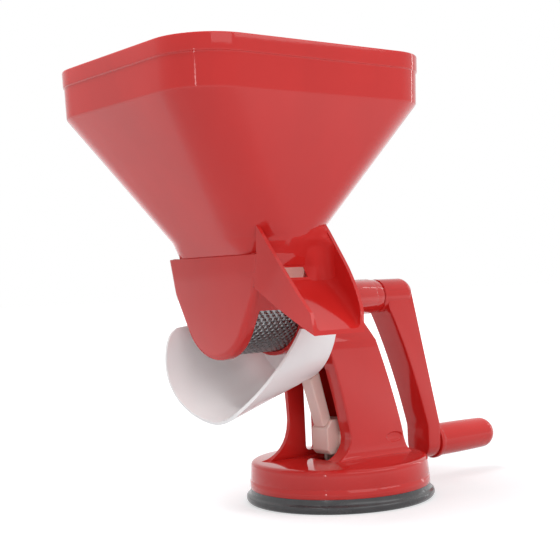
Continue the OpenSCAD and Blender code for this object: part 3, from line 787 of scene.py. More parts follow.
def covered(x, depth):
    """Height of the middle of the wall that hides what is built into it."""
    s = press().shell
    waist = AXIS_Z + s.waist_rise
    throat = AXIS_Z + s.throat_rise
    lean = (s.throat_width - s.waist_width) / 2 / (throat - waist)
    in_drum = waist + (depth + s.wall / 2 - s.waist_width / 2) / lean
    return in_drum if in_drum < throat else wall_height(x, depth)


def add_chute():
    """The skins chute: two side walls that carry on the drum's ends, and a sloping floor."""
    s = press().shell
    depths = np.array([43, 44, 45, 46, 47, 48, 49, 49.6, 50.2, 50.8, 51.4, 52.2, 53, 54, 56, 59, 62, 66,
                       70, 74, 78, 81, 84, 85.9, 86.1, 88, 90]) * MM
    rings = []
    for depth in depths:
        left, right = chute_plan(depth)
        top, bottom, floor, under = chute_levels(depth)
        top_left = min(top, covered(left + s.chute_wall / 2, depth))
        top_right = min(top + 0.8 * MM * np.clip((60 * MM - depth) / (8 * MM), 0, 1),
                        covered(right - s.chute_wall / 2, depth))
        floor = min(floor, min(top_left, top_right) - 0.3 * MM)
        under = min(under, floor - 0.3 * MM)
        room = max(0.1 * MM, (top - floor) * 0.8)
        near, far = min(2.6 * MM, room), min(4 * MM + (s.chute_reach - depth) * 0.16, room)
        inner_left, inner_right = left + s.chute_wall, right - s.chute_wall
        flare = s.lip_flare * np.clip((depth - 50 * MM) / (s.chute_reach - 50 * MM), 0, 1)
        section = chain((left, bottom), (left - flare, top_left), (inner_left - flare, top_left),
                        bend((inner_left, floor + near), (inner_left, floor), (inner_left + near, floor), 5),
                        bend((inner_right - far, floor), (inner_right, floor), (inner_right, floor + far), 7),
                        (inner_right + flare, top_right), (right + flare, top_right), (right, bottom),
                        (inner_right, bottom), (inner_right, under), (inner_left, under),
                        (inner_left, bottom))
        back = s.lip_flare * np.clip((depth - 70 * MM) / (s.chute_reach - 70 * MM), 0, 1)
        lean = back * (section[:, 1] - bottom) / max(top_left - bottom, 0.1 * MM)
        rings.append(np.column_stack([section[:, 0], lean - depth, section[:, 1]]))
    piece = loft("hopper_chute", rings, caps=(0, -1))
    tidy(piece)
    dress(piece, red_plastic(), "stand", "hopper", edge=0.5 * MM, edge_angle=40, segments=3)
    end_left = -s.drum_right - s.drum_length - 0.03 * MM
    end_right = -s.drum_right + 0.03 * MM
    for name, low, high in (("left", end_left, end_left + 2.3 * MM),
                            ("right", end_right - 2.3 * MM, end_right)):
        outline = [(-30 * MM, 150 * MM)]
        for depth in np.linspace(30, 47.4, 18) * MM:
            outline.append((-depth, min(chute_levels(depth)[0],
                                        max(ROOT_LOW, covered((low + high) / 2, depth)))))
        outline += [(-47.4 * MM, 149 * MM), (-44 * MM, 148 * MM)]
        root = prism("hopper_chute_root_" + name, outline, low, high, axis="X")
        dress(root, red_plastic(), "stand", "hopper")


def add_chute_back():
    """The wall around the skins slot, blended into the right side wall."""
    s = press().shell
    slot_low, slot_high = slot_levels()
    slot_left = -s.drum_right - s.drum_length + s.slot_left
    slot_right = slot_left + s.slot_width
    left, right = chute_plan(50 * MM)
    left, right = left + s.chute_wall, right - s.chute_wall
    front = soften(np.array([(51.9, 144.6), (50.6, 147.0), (46.5, 153.4), (47.3, 156.5), (48.3, 160),
                             (49.8, 165), (51.7, 170.5), (54.3, 178), (56.3, 184)]) * MM, 1.2 * MM)
    heights = np.array([144.6, 146, 1000 * slot_low, 149, 150.5, 152, 1000 * slot_high, 154.2, 155, 156,
                        157, 159, 161, 163, 165, 167, 169, 171, 173, 175, 178]) * MM
    arc = 1 - np.cos(np.linspace(0, math.pi / 2, 9))
    xs = np.unique(np.concatenate([left + 3 * MM * arc, right - 14 * MM * arc, [slot_left, slot_right],
                                   np.linspace(left + 3 * MM, right - 14 * MM, 9)]).round(6))
    xs = xs[np.concatenate([[True], np.diff(xs) > 1e-5])]
    edge = np.array([chute_levels(d)[0] for d in np.linspace(48, 60, 60) * MM])

    def forward(x, z, depth):
        """How far the wall comes forward towards the right side and where it blends into the side walls."""
        gap, radius = (x - left, 2.5 * MM) if x < (left + right) / 2 else (right - x, 9 * MM)
        gap = min(gap, radius)
        blend = radius - math.sqrt(max(0.0, radius ** 2 - (radius - gap) ** 2))
        lean = 0.05 * max(0.0, x + 77 * MM) * np.clip((z - slot_high) / (16 * MM), 0, 1)
        reach = np.interp(z, edge[::-1], np.linspace(48, 60, 60)[::-1] * MM)
        return min(blend + lean, max(0.0, reach - depth - 0.5 * MM))

    rings = []
    for z in heights:
        depth = np.interp(z, front[:, 1], front[:, 0])
        ring = []
        for x in xs:
            shell = wall_depth(x, z) if z > 0.162 else 1.0
            seam = np.interp(x, (-0.0767, -0.0647, -0.0594, -0.05), (0.1707, 0.1735, 0.1755, 0.1775))
            plain = np.interp(z, (0.1446, 0.165), (52.6 * MM, 49.8 * MM)) if z < 0.165 else depth
            fade = np.clip((x + 61.4 * MM) / (5 * MM), 0, 1)
            base = depth + (plain - depth) * fade * fade * (3 - 2 * fade)
            ahead = base + forward(x, z, base)
            if x < -0.062:
                ahead = min(ahead, shell + 0.2 * MM)
            ring.append((x, -min(ahead, shell - 0.6 * MM if z > seam else 1.0), z))
        rings.append(ring)

    def is_open(i, j):
        x = (xs[j] + xs[j + 1]) / 2
        z = (heights[i] + heights[i + 1]) / 2
        return slot_left < x < slot_right and slot_low < z < slot_high

    piece = loft("hopper_chute_back", rings, closed=False, skip=is_open)
    tidy(piece, inside=((left + right) / 2, 0.0, AXIS_Z))
    dress(piece, satin_plastic(), "stand", "hopper", thickness=1.0 * MM, edge=0.3 * MM,
          edge_angle=60, segments=2)


def add_lugs():
    """The two small lugs that the juice tray hooks onto."""
    s = press().shell
    right = -s.drum_right
    for side, name in ((-1, "front"), (1, "back")):
        near, far = sorted((side * (s.drum_radius - 3 * MM), side * 40.5 * MM))
        outline = [(near, AXIS_Z - 8 * MM), (far, AXIS_Z - 8 * MM),
                   (far, AXIS_Z - 5.5 * MM), (near, AXIS_Z - 5.5 * MM)]
        piece = prism("hopper_lug_" + name, outline, right - s.band, right - 1.5 * MM, axis="X")
        dress(piece, red_plastic(), "stand", "hopper", edge=0.4 * MM)


# ---------- sieve and tray ----------

def add_sieve():
    """The perforated sheet bent into a half tube, with staggered holes."""
    p = press().parts
    radius = (SIEVE_HIGH.y - SIEVE_LOW.y) / 2
    low_x, high_x = SIEVE_LOW.x, SIEVE_HIGH.x
    half_arc = radius * math.acos((AXIS_Z - SIEVE_HIGH.z) / radius)
    pitch = p.hole_pitch
    rise = p.hole_rise
    columns = int((high_x - low_x - 0.4 * MM) / pitch)
    rows = int((2 * half_arc - 1.6 * MM) / rise)
    start_x = (low_x + high_x - columns * pitch) / 2
    start_s = -rows * rise / 2
    points, faces = [], []

    def patch(outer, inner=None):
        """One cell, with a hole if inner is given."""
        first = len(points)
        points.extend(outer)
        count = len(outer)
        if inner is None:
            faces.append(tuple(range(first, first + count)))
            return
        points.extend(inner)
        for i in range(count):
            j = (i + 1) % count
            faces.append((first + i, first + j, first + count + j, first + count + i))

    for row in range(rows):
        low, high = start_s + row * rise, start_s + (row + 1) * rise
        middle = (low + high) / 2
        shift = pitch / 2 if row % 2 else 0.0
        for column in range(columns - row % 2):
            a = start_x + shift + column * pitch
            b = a + pitch
            c = (a + b) / 2
            outer = [(a, low), (c, low), (b, low), (b, middle), (b, high), (c, high), (a, high), (a, middle)]
            hole = p.hole / 2
            inner = [(c + hole * math.cos(t), middle + hole * math.sin(t))
                     for t in [math.atan2(v - middle, u - c) for u, v in outer]]
            patch(outer, inner)
        if row % 2:
            for a in (start_x, start_x + (columns - 0.5) * pitch):
                b = a + pitch / 2
                patch([(a, low), (b, low), (b, middle), (b, high), (a, high), (a, middle)])
        for a, b in ((low_x, start_x), (start_x + columns * pitch, high_x)):
            patch([(a, low), (b, low), (b, middle), (b, high), (a, high), (a, middle)])
    field = [low_x] + [start_x + i * pitch / 2 for i in range(columns * 2 + 1)] + [high_x]
    for low, high in ((-half_arc, start_s), (start_s + rows * rise, half_arc)):
        for a, b in zip(field, field[1:]):
            patch([(a, low), (b, low), (b, high), (a, high)])
    bent = [(x, radius * math.sin(s / radius), AXIS_Z - radius * math.cos(s / radius)) for x, s in points]
    piece = add_mesh("sieve_sheet", bent, faces)
    tidy(piece, inside=((low_x + high_x) / 2, 0.0, AXIS_Z))
    dress(piece, sieve_steel(), "stand", "sieve", thickness=p.sheet, edge_angle=30)


def tray_side(p, edge, top, side):
    """One half of the tray's skin: rows that run along the trough between its two edges."""
    rise = math.tan(p.tray_slope)
    deep = p.tray_radius / math.cos(p.tray_slope)
    heights = edge[:, 1] - rise * (edge[:, 0] + p.tray_end) - (p.tray_floor + deep)
    peak = int(np.argmax(heights))
    lift = heights[peak]
    rows = np.unique(np.concatenate([-deep * np.sin(np.radians(np.linspace(90, 0, 31))),
                                     np.linspace(0, lift, 9), [top]]).round(7))
    rows = rows[(rows <= lift + 1e-7)]
    near, far = slice(0, peak + 1), slice(peak, None)
    points = []
    for row in rows:
        first = np.interp(row, heights[near], edge[near, 0])
        last = np.interp(row, heights[far][::-1], edge[far, 0][::-1])
        across = p.tray_radius * math.sqrt(max(0.0, 1 - (row / deep) ** 2)) if row < 0 else p.tray_radius
        xs = np.linspace(first, last, 25)
        points.append([(x, side * across, p.tray_floor + deep + rise * (x + p.tray_end) + row) for x in xs])
    return points


def add_tray():
    """The juice tray: a sloping trough with one closed end, cut away in front, and its two hooks."""
    p = press().parts
    rise = math.tan(p.tray_slope)
    deep = p.tray_radius / math.cos(p.tray_slope)
    tip_x = -98.6 * MM
    tip = (tip_x, p.tray_floor + rise * (tip_x + p.tray_end))
    start = (-p.tray_end, AXIS_Z - 20 * MM)
    top = start[1] - (p.tray_floor + deep)
    front = chain((-p.tray_end, p.tray_floor), start, (-62 * MM, AXIS_Z - 16 * MM),
                  bend((-62 * MM, AXIS_Z - 16 * MM), (-70.5 * MM, 101 * MM), (-97 * MM, 67 * MM), 16), tip)
    back = chain((-p.tray_end, p.tray_floor), start, (-60 * MM, AXIS_Z - 13 * MM),
                 (-93 * MM, AXIS_Z - 13 * MM),
                 bend((-93 * MM, AXIS_Z - 13 * MM), (-105 * MM, 118 * MM), (-106 * MM, 98 * MM), 12),
                 bend((-106 * MM, 98 * MM), (-108 * MM, 76 * MM), tip, 16))
    halves = []
    for name, edge, side in (("front", front, -1), ("back", back, 1)):
        halves.append(loft("tray_" + name, tray_side(p, edge, top, side), closed=False))
    across = p.tray_radius * math.sqrt(1 - (top / deep) ** 2)
    clear = press().shell.drum_radius + 1.5 * MM
    angles = np.radians(np.linspace(-90, 90, 61))
    rim = [(p.tray_radius * math.sin(a), p.tray_floor + deep - deep * math.cos(a)) for a in angles]
    rim = [(y, z) for y, z in rim if z < start[1]]
    half = math.sqrt(clear ** 2 - (AXIS_Z - start[1]) ** 2)
    dip = [(y, AXIS_Z - math.sqrt(clear ** 2 - y ** 2)) for y in np.linspace(half, -half, 19)]
    outline = [(-across, start[1])] + rim + [(across, start[1])] + dip
    closed_end = add_mesh("tray_end", [(-p.tray_end, y, z) for y, z in outline], [tuple(range(len(outline)))])
    piece = join([*halves, closed_end], "tray_trough")
    tidy(piece, inside=(-65 * MM, 0.0, 112 * MM))
    dress(piece, tray_plastic(), "tray", "juice_tray", thickness=p.tray_wall, edge=0.5 * MM,
          edge_angle=55, segments=3)
    s = press().shell
    left = -s.drum_right - s.band
    for side, name in ((-1, "front"), (1, "back")):
        wall, inner = side * p.tray_radius, side * (p.tray_radius - p.tray_wall)
        tip_y = side * (p.tray_radius - 4.7 * MM)
        low, high = AXIS_Z - 19 * MM, AXIS_Z - 2.7 * MM
        outline = [(wall, low), (wall, high), (tip_y, high), (tip_y, high - 2.5 * MM),
                   (inner, high - 2.5 * MM), (inner, low)]
        hook = prism("tray_hook_" + name, outline, left, left + 6 * MM, axis="X")
        dress(hook, tray_plastic(), "tray", "juice_tray", edge=0.5 * MM)


# ---------- stand ----------

def column_edges():
    """The column's right edge and its two left edges, as (x, z)."""
    right = chain(bend((9, 126), (29.5, 80), (39.2, 42), 24), bend((39.2, 42), (40.6, 30), (47, 26), 10)) * MM
    front = chain(bend((-31, 126), (-12, 70), (-7.5, 42), 24),
                  bend((-7.5, 42), (-7.5, 31), (-24, 26), 12)) * MM
    back = chain(bend((-31, 126), (-27, 80), (-25.4, 55), 20),
                 bend((-25.4, 55), (-25, 30), (-52, 26), 16)) * MM
    return right, front, back


def add_column():
    """The one-sided column: a plate in front, a web, and a plate behind with a long window."""
    s = press().stand
    right, front, back = column_edges()
    heights = np.array([26.3, 26.8, 27.4, 28.2, 29.2, 30.5, 32.2, 34.5, 37.5, 41, 46, 52, 58, 65, 72, 79,
                        86, 93, 99, 104, 107, 111, 115, 119, 123, 127, 130]) * MM
    depths = np.interp(heights, np.array([104, 127, 130]) * MM,
                       [s.column_depth / 2, s.barrel_radius - 0.8 * MM, s.barrel_radius - 0.3 * MM])
    rings = []
    for z, depth in zip(heights, depths):
        foot = 1.6 * MM * max(0.0, (30 * MM - z) / (3 * MM)) ** 2
        beyond = max(0.0, z - 126 * MM)
        x_right = np.interp(z, right[::-1, 1], right[::-1, 0]) - beyond * 0.53
        x_front = np.interp(z, front[::-1, 1], front[::-1, 0]) - beyond * 0.33
        x_back = np.interp(z, back[::-1, 1], back[::-1, 0]) - beyond * 0.1
        gap = min(s.flange_gap, depth - 2.6 * MM)
        path = [(x_front, -gap), (x_front, -depth - foot), (x_right, -depth - foot), (x_right, depth + foot),
                (x_back, depth + foot)]
        line = soften(path, 1.6 * MM, 4)
        rings.append(np.column_stack([line, np.full(len(line), z)]))
    piece = loft("stand_column", rings, closed=False)
    tidy(piece, inside=(8 * MM, 0.0, 70 * MM))
    skin = piece.modifiers.new("thickness", "SOLIDIFY")
    skin.thickness = s.column_wall
    skin.offset = -1
    skin.use_even_offset = True
    skin.use_quality_normals = True
    window = soften([(-12.4 * MM, 31 * MM), (-4.6 * MM, 31 * MM), (-4.6 * MM, 88 * MM),
                     (-12.4 * MM, 88 * MM)], 3 * MM, 4, closed=True)
    carve(piece, prism("window", window, 10 * MM, 30 * MM))
    angles = np.linspace(0, 2 * np.pi, 40, endpoint=False)
    rings = []
    for size, depth in ((0.05, 0.9), (0.72, 0.88), (0.86, 0.75), (0.95, 0.4), (1.0, 0.0), (1.06, -0.8)):
        rings.append(np.column_stack([30.6 * MM + 7.6 * MM * size * np.cos(angles),
                                      np.full(40, -s.column_depth / 2 + depth * MM),
                                      38.2 * MM + 3.4 * MM * size * np.sin(angles)]))
    hollow = loft("hollow", rings, caps=(0, -1))
    tidy(hollow)
    carve(piece, hollow)
    dress(piece, red_plastic(), "stand", "stand", edge=0.5 * MM, edge_angle=40, segments=3)


def add_base():
    """The round base with its fine groove, its shoulder and the opening for the lever."""
    s = press().stand
    radius, low = s.base_radius, s.cup_height
    outside = chain((radius - 0.25 * MM, low), (radius, low + 0.4 * MM), (radius, low + 5.1 * MM),
                    (radius - s.groove, low + 5.5 * MM), (radius - s.groove, low + 6.0 * MM),
                    (radius - 0.35 * MM, low + 6.4 * MM),
                    (radius - 0.9 * MM, s.base_top - 4.2 * MM),
                    bend((radius - 0.95 * MM, s.base_top - 3.8 * MM),
                         (radius - 1.1 * MM, s.base_top - 1.5 * MM),
                         (radius - 4.2 * MM, s.base_top - 1.1 * MM), 12),
                    (30 * MM, s.base_top - 0.6 * MM), (5 * MM, s.base_top - 0.12 * MM))
    inside = chain((5 * MM, s.base_top - 3 * MM), (radius - 10 * MM, s.base_top - 3.6 * MM),
                   (radius - 3 * MM, s.base_top - 9 * MM), (radius - 3 * MM, low))
    angles = np.linspace(0, 2 * np.pi, 160, endpoint=False)
    rings = [np.column_stack([r * np.cos(angles), r * np.sin(angles), np.full(160, z)])
             for r, z in np.vstack([outside, inside])]
    piece = loft("stand_base", rings, wrap=True)
    tidy(piece)
    opening = soften([(-19 * MM, -11.9 * MM), (14 * MM, -11.9 * MM), (14 * MM, 11.9 * MM),
                      (-19 * MM, 11.9 * MM)], 2 * MM, 4, closed=True)
    cutter = loft("opening", [np.column_stack([opening, np.full(len(opening), z)]) for z in (0.0, 40 * MM)],
                  caps=(0, -1))
    tidy(cutter)
    carve(piece, cutter)
    dress(piece, red_plastic(), "stand", "stand", edge=0.4 * MM, edge_angle=50, segments=2)


def add_barrel():
    """The barrel that carries the shaft, with a slightly smaller end beside the crank."""
    s = press().stand
    radius = s.barrel_radius
    end = s.barrel_right
    profile = chain((8.2 * MM, -50.5 * MM), (8.6 * MM, -50.5 * MM), (8.8 * MM, -50.2 * MM),
                    (8.8 * MM, -s.barrel_left), (radius, -s.barrel_left),
                    (radius, end - 7.6 * MM), (radius - 0.25 * MM, end - 7.1 * MM),
                    (radius - 0.45 * MM, end - 6.4 * MM), (radius - 0.65 * MM, end - 0.8 * MM),
                    (radius - 0.95 * MM, end - 0.25 * MM), (radius - 1.4 * MM, end), (7.3 * MM, end),
                    (7.3 * MM, -50.5 * MM))
    angles = np.linspace(0, 2 * np.pi, 96, endpoint=False)
    rings = [np.column_stack([np.full(96, x), r * np.cos(angles), AXIS_Z + r * np.sin(angles)])
             for r, x in profile]
    piece = loft("stand_barrel", rings, wrap=True)
    tidy(piece)
    dress(piece, red_plastic(), "stand", "stand", edge_angle=30)


def add_foot():
    """The rubber suction foot with its thin lip."""
    s = press().stand
    radius, height = s.cup_radius, s.cup_height
    profile = chain((20 * MM, 0.0), (radius - 2.4 * MM, 0.0),
                    bend((radius - 1.8 * MM, 0.2 * MM), (radius, 1.2 * MM), (radius, 3.2 * MM), 8),
                    bend((radius - 0.05 * MM, 3.8 * MM), (radius - 0.2 * MM, 4.6 * MM),
                         (radius - 0.9 * MM, 5.0 * MM), 5),
                    bend((radius - 1.9 * MM, 5.5 * MM), (radius - 2.6 * MM, 6.2 * MM),
                         (radius - 3.0 * MM, height), 6),
                    (radius - 5.7 * MM, height), (20 * MM, height))
    piece = lathe("foot_rubber", profile, steps=160)
    dress(piece, foot_rubber(), "stand", "suction_cup", edge_angle=45)


# ---------- crank and lever ----------

def add_crank():
    """The crank: a round hub and an arm with two flat faces that ends in a round boss."""
    p = press().parts
    start, length, radius, soft = p.hub_start, p.hub_length, p.hub_radius, p.hub_round
    end = start + length
    angles = np.radians(np.linspace(0, 90, 13))
    nose = np.column_stack([radius - soft * (1 - np.cos(angles)), end - soft * (1 - np.sin(angles))])
    profile = chain((3 * MM, start), (radius - 0.5 * MM, start), (radius, start + 0.5 * MM), nose,
                    (4.9 * MM, end), (4.9 * MM, end - 6 * MM), (3 * MM, end - 6 * MM))
    hub = lathe("crank_hub", profile, axis="X", centre=(0.0, 0.0, AXIS_Z), steps=96)
    dress(hub, red_plastic(), "crank", "crank_arm", edge_angle=30)
    outer_x = ARM_HIGH.x
    half = p.arm_width / 2
    outer = np.array([(60.8 * MM, AXIS_Z + 4 * MM), (64 * MM, AXIS_Z), (outer_x, 39 * MM),
                      (outer_x, 10 * MM)])
    inner = chain((41.5 * MM, AXIS_Z + 4 * MM),
                  bend((41.5 * MM, AXIS_Z - 8 * MM), (59 * MM, 92 * MM),
                       (outer_x - p.arm_thickness, 39 * MM), 24),
                  (outer_x - p.arm_thickness, 10 * MM))
    heights = np.concatenate([np.linspace(AXIS_Z + 4 * MM, AXIS_Z, 3),
                              np.linspace(AXIS_Z - 3 * MM, GRIP_Z, 34),
                              GRIP_Z - half * np.sin(np.radians(np.linspace(6, 88, 14)))])
    rings = []
    for z in heights:
        low_x = np.interp(z, inner[::-1, 1], inner[::-1, 0])
        high_x = np.interp(z, outer[::-1, 1], outer[::-1, 0])
        wide = half if z > GRIP_Z else math.sqrt(max(1e-9, half ** 2 - (GRIP_Z - z) ** 2))
        crease = low_x + (high_x - low_x) * 0.62
        path = [(low_x, -wide), (crease, -wide), (high_x, -wide),
                (high_x, wide), (crease, wide), (low_x, wide)]
        line = soften(path, min(1.3 * MM, wide * 0.4), 4, closed=True)
        rings.append(np.column_stack([line, np.full(len(line), z)]))
    arm = loft("crank_lever_arm", rings, caps=(0, -1))
    tidy(arm)
    dress(arm, red_plastic(), "crank", "crank_arm", edge_angle=35)


def add_grip():
    """The turning grip, with a collar and a round end."""
    p = press().parts
    start, end = GRIP_LOW.x, GRIP_HIGH.x
    collar = GRIP_HIGH.y
    radius = p.grip_radius
    tip = radius - 0.6 * MM
    angles = np.radians(np.linspace(0, 90, 20))
    dome = np.column_stack([tip * np.cos(angles), end - tip + tip * np.sin(angles)])
    profile = chain((4.06 * MM, start), (collar - 0.7 * MM, start),
                    bend((collar - 0.7 * MM, start), (collar, start), (collar, start + 0.7 * MM), 4),
                    bend((collar, start + 2.7 * MM), (collar, start + 3.5 * MM),
                         (collar - 0.7 * MM, start + 3.8 * MM), 4),
                    bend((radius, start + 4.1 * MM), (radius - 0.15 * MM, start + 4.3 * MM),
                         (radius - 0.12 * MM, start + 5.2 * MM), 3),
                    bend((radius - 0.12 * MM, start + 6 * MM), (radius + 0.05 * MM, start + 26 * MM),
                         dome[0], 12),
                    dome)
    piece = lathe("crank_grip_body", profile, axis="X", centre=(0.0, 0.0, GRIP_Z), steps=112)
    dress(piece, red_plastic(), "grip", "crank_grip", edge_angle=40)


def add_lever():
    """The suction lever: a faceted block on the pivot with a leaning arm."""
    p = press().parts
    z = PIVOT_Z
    block = np.array([(-13.5, -11), (-16, -8), (-16, 6), (-11.5, 12), (2, 12), (9, 5), (9, -5),
                      (4, -11)]) * MM
    body = prism("lever_block", block + (0, z), -p.lever_block, p.lever_block)
    dress(body, cream_plastic(), "lever", "suction_lever", edge=0.9 * MM, edge_angle=25)
    reach = 47.4 * MM
    tip = [(reach * math.cos(a), reach * math.sin(a)) for a in np.radians(np.linspace(112.2, 123.4, 6))]
    arm = np.array([(-16.4 * MM, 7 * MM), (-9 * MM, 10 * MM), *tip])
    piece = prism("lever_arm", arm + (0, z), -p.lever_arm, p.lever_arm)
    dress(piece, cream_plastic(), "lever", "suction_lever", edge=1.1 * MM, edge_angle=25)
    discs = prism("lever_discs", [(2.46 * MM + 6 * MM * math.cos(a),
                                   PIVOT_Z - 1.72 * MM + 6 * MM * math.sin(a))
                                  for a in np.linspace(0, 2 * np.pi, 48, endpoint=False)],
                  -p.lever_block - 3.2 * MM, p.lever_block + 3.2 * MM)
    dress(discs, cream_plastic(), "lever", "suction_lever", edge=0.4 * MM, edge_angle=40)


# ---------- stage ----------

def add_lamp(name, place, target, power, width, height):
    """A soft rectangular lamp that faces a point."""
    light = bpy.data.lights.new(name, "AREA")
    light.shape = "RECTANGLE"
    light.size = width
    light.size_y = height
    light.energy = power
    lamp = bpy.data.objects.new(name, light)
    bpy.context.scene.collection.objects.link(lamp)
    lamp.location = place
    lamp.rotation_euler = (Vector(target) - Vector(place)).to_track_quat("-Z", "Y").to_euler()
    lamp.visible_camera = False
    return lamp


def seen_directly(tree):
    """1 for what the camera, a glossy surface or a clear one sees, and 0 for light that is shed."""
    path = tree.nodes.new("ShaderNodeLightPath")
    shiny = tree.nodes.new("ShaderNodeMath")
    shiny.operation = "MAXIMUM"
    node_link(tree, path.outputs["Is Camera Ray"], shiny.inputs[0])
    node_link(tree, path.outputs["Is Glossy Ray"], shiny.inputs[1])
    clear = tree.nodes.new("ShaderNodeMath")
    clear.operation = "MAXIMUM"
    node_link(tree, shiny.outputs["Value"], clear.inputs[0])
    node_link(tree, path.outputs["Is Transmission Ray"], clear.inputs[1])
    return clear.outputs["Value"]


def add_stage():
    """The camera, the white surround, the floor and soft lamps."""
    scene = bpy.context.scene
    view = press().view
    scene.view_settings.view_transform = "Standard"
    camera = bpy.data.objects.new("camera", bpy.data.cameras.new("camera"))
    scene.collection.objects.link(camera)
    camera.data.sensor_fit = "HORIZONTAL"
    camera.data.sensor_width = 36.0
    camera.data.lens = view.lens
    camera.data.clip_start = 0.01
    camera.data.clip_end = 50.0
    forward = Vector((math.sin(view.heading) * math.cos(view.pitch),
                      math.cos(view.heading) * math.cos(view.pitch),
                      math.sin(view.pitch)))
    level = Vector((math.cos(view.heading), -math.sin(view.heading), 0.0))
    upright = level.cross(forward)
    across = level * math.cos(view.roll) + upright * math.sin(view.roll)
    up = across.cross(forward)
    turned = Matrix((across, up, -forward)).transposed()
    camera.matrix_world = Matrix.Translation(Vector(view.camera)) @ turned.to_4x4()
    scene.camera = camera

    world = bpy.data.worlds.new("surround")
    world.use_nodes = True
    scene.world = world
    tree = world.node_tree
    background = tree.nodes["Background"]
    background.inputs["Color"].default_value = (1.0, 1.0, 1.0, 1.0)
    node_link(tree, between(tree, seen_directly(tree), view.sky, 1.0, 0.0, 1.0),
              background.inputs["Strength"])

    angles = np.linspace(0, 2 * np.pi, 96, endpoint=False)
    rings = [np.column_stack([r * np.cos(angles), r * np.sin(angles), np.full(96, -0.02 * MM)])
             for r in (0.02, 0.3, 1.0, 3.0, 9.0)]
    floor = loft("floor", rings, caps=(0,))
    tidy(floor, inside=(0.0, 0.0, -1.0))
    floor.data.materials.append(studio_floor())

    middle = (-0.03, 0.0, 0.12)
    add_lamp("key", (-0.55, 0.12, 1.6), middle, view.key, 0.7, 0.7)
    add_lamp("fill", (0.5, -0.95, 0.8), middle, view.fill, 0.6, 0.6)
    add_lamp("front", (-0.2, -1.1, 0.66), middle, view.front, 0.8, 0.5)
    add_lamp("strip_near", (-1.06, -0.66, 0.17), middle, view.strips * 0.55, 0.035, 0.3)
    add_lamp("strip_right", (1.2, -0.1, 0.4), middle, view.strips, 0.035, 0.8)


def studio_floor():
    """Pale seamless floor that keeps a shadow near the object and turns white further out."""
    material = bpy.data.materials.new("studio_floor")
    material.use_nodes = True
    tree = material.node_tree
    tree.nodes.remove(tree.nodes["Principled BSDF"])
    output = tree.nodes["Material Output"]
    diffuse = tree.nodes.new("ShaderNodeBsdfDiffuse")
    glow = tree.nodes.new("ShaderNodeEmission")
    both = tree.nodes.new("ShaderNodeAddShader")
    place = tree.nodes.new("ShaderNodeTexCoord")
    spread = tree.nodes.new("ShaderNodeVectorMath")
    spread.operation = "LENGTH"
    node_link(tree, place.outputs["Object"], spread.inputs[0])
    near = between(tree, spread.outputs["Value"], 0.5, 1.0, 0.3, 0.7)
    node_link(tree, multiplied(tree, near, seen_directly(tree)), glow.inputs["Strength"])
    paper = grain(tree, 40.0, 3.0)
    base = press().colours.floor
    tone = shades(tree, between(tree, paper, 0.0, 1.0), tint(base, 0.985), tint(base, 1.0))
    node_link(tree, tone, diffuse.inputs["Color"])
    node_link(tree, diffuse.outputs["BSDF"], both.inputs[0])
    node_link(tree, glow.outputs["Emission"], both.inputs[1])
    node_link(tree, both.outputs["Shader"], output.inputs["Surface"])
    return material


def spring_coil(name, x, fixed, free):
    """One compression spring along Z with closed ends, as a wire of round section."""
    s = press().parts
    wire, radius = s.spring_wire / 2, s.spring_radius - s.spring_wire / 2
    upwards = 1 if free > fixed else -1
    turns = SPRING_TURNS
    rise = abs(free - fixed) - 2 * wire
    t = np.linspace(0, turns, 169)
    heights = fixed + upwards * (wire + np.interp(t, [0, 1, turns - 1, turns],
                                                  [0, 2 * wire, rise - 2 * wire, rise]))
    angles = np.linspace(0, 2 * np.pi, 8, endpoint=False)
    rings = []
    for around, height in zip(t * 2 * np.pi, heights):
        reach = radius + wire * np.cos(angles)
        rings.append(np.column_stack([x + reach * math.cos(around), reach * math.sin(around),
                                      height + wire * np.sin(angles)]))
    piece = loft(name, rings, caps=(0, -1))
    tidy(piece)
    return piece


def add_springs():
    """The two springs under each blade, as fixed coils; in the press they shorten as the blade gives way."""
    s = press().parts
    for side in ("upper", "lower"):
        node = "springs_" + side
        low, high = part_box(node)
        fixed, free = (low.z, high.z) if side == "upper" else (high.z, low.z)
        pair = [spring_coil("coil", x, fixed, free)
                for x in (low.x + s.spring_radius, high.x - s.spring_radius)]
        piece = join(pair, "coils_" + side)
        dress(piece, spring_wire(), "crank", node, edge_angle=60)
        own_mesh(piece)


def finish_inner_parts():
    """Gives the parts that keep their own shape their finishes."""
    seal = foot_rubber()
    steel = turned_steel()
    cream = cream_plastic()
    for node in ("drive_shaft", "rotor_nut", "lever_pin", "crank_screw", "grip_pin"):
        finish_node(node, steel)
    finish_node("base_screws", steel, 0.1 * MM)
    for node in ("bush_drum", "bush_crank"):
        finish_node(node, bush_plastic(), 0.2 * MM)
    finish_node("shaft_seal", seal, 0.1 * MM)
    for node in ("rotor_core", "blade_upper", "blade_lower", "lock_ring", "skins_guide", "base_plate",
                 "cup_stem"):
        finish_node(node, cream)


# ---------- add-on ----------

class PressSettings(bpy.types.PropertyGroup):
    """All settings of the tomato press."""

    shell: bpy.props.PointerProperty(name="Shell", description="Hopper, drum and chute", type=PressShell)
    stand: bpy.props.PointerProperty(name="Stand", description="Column, base and foot", type=PressStand)
    parts: bpy.props.PointerProperty(name="Parts", description="Sieve, tray, crank and lever",
                                     type=PressParts)
    colours: bpy.props.PointerProperty(name="Colours", description="Colours of the finishes",
                                       type=PressColours)
    view: bpy.props.PointerProperty(name="View", description="Camera and light", type=PressView)


class PRESS_OT_stage(bpy.types.Operator):
    """Makes the camera, the lamps, the surround and the floor"""

    bl_idname = "tomato_press.stage"
    bl_label = "Stage"

    def execute(self, context):
        add_stage()
        return {"FINISHED"}


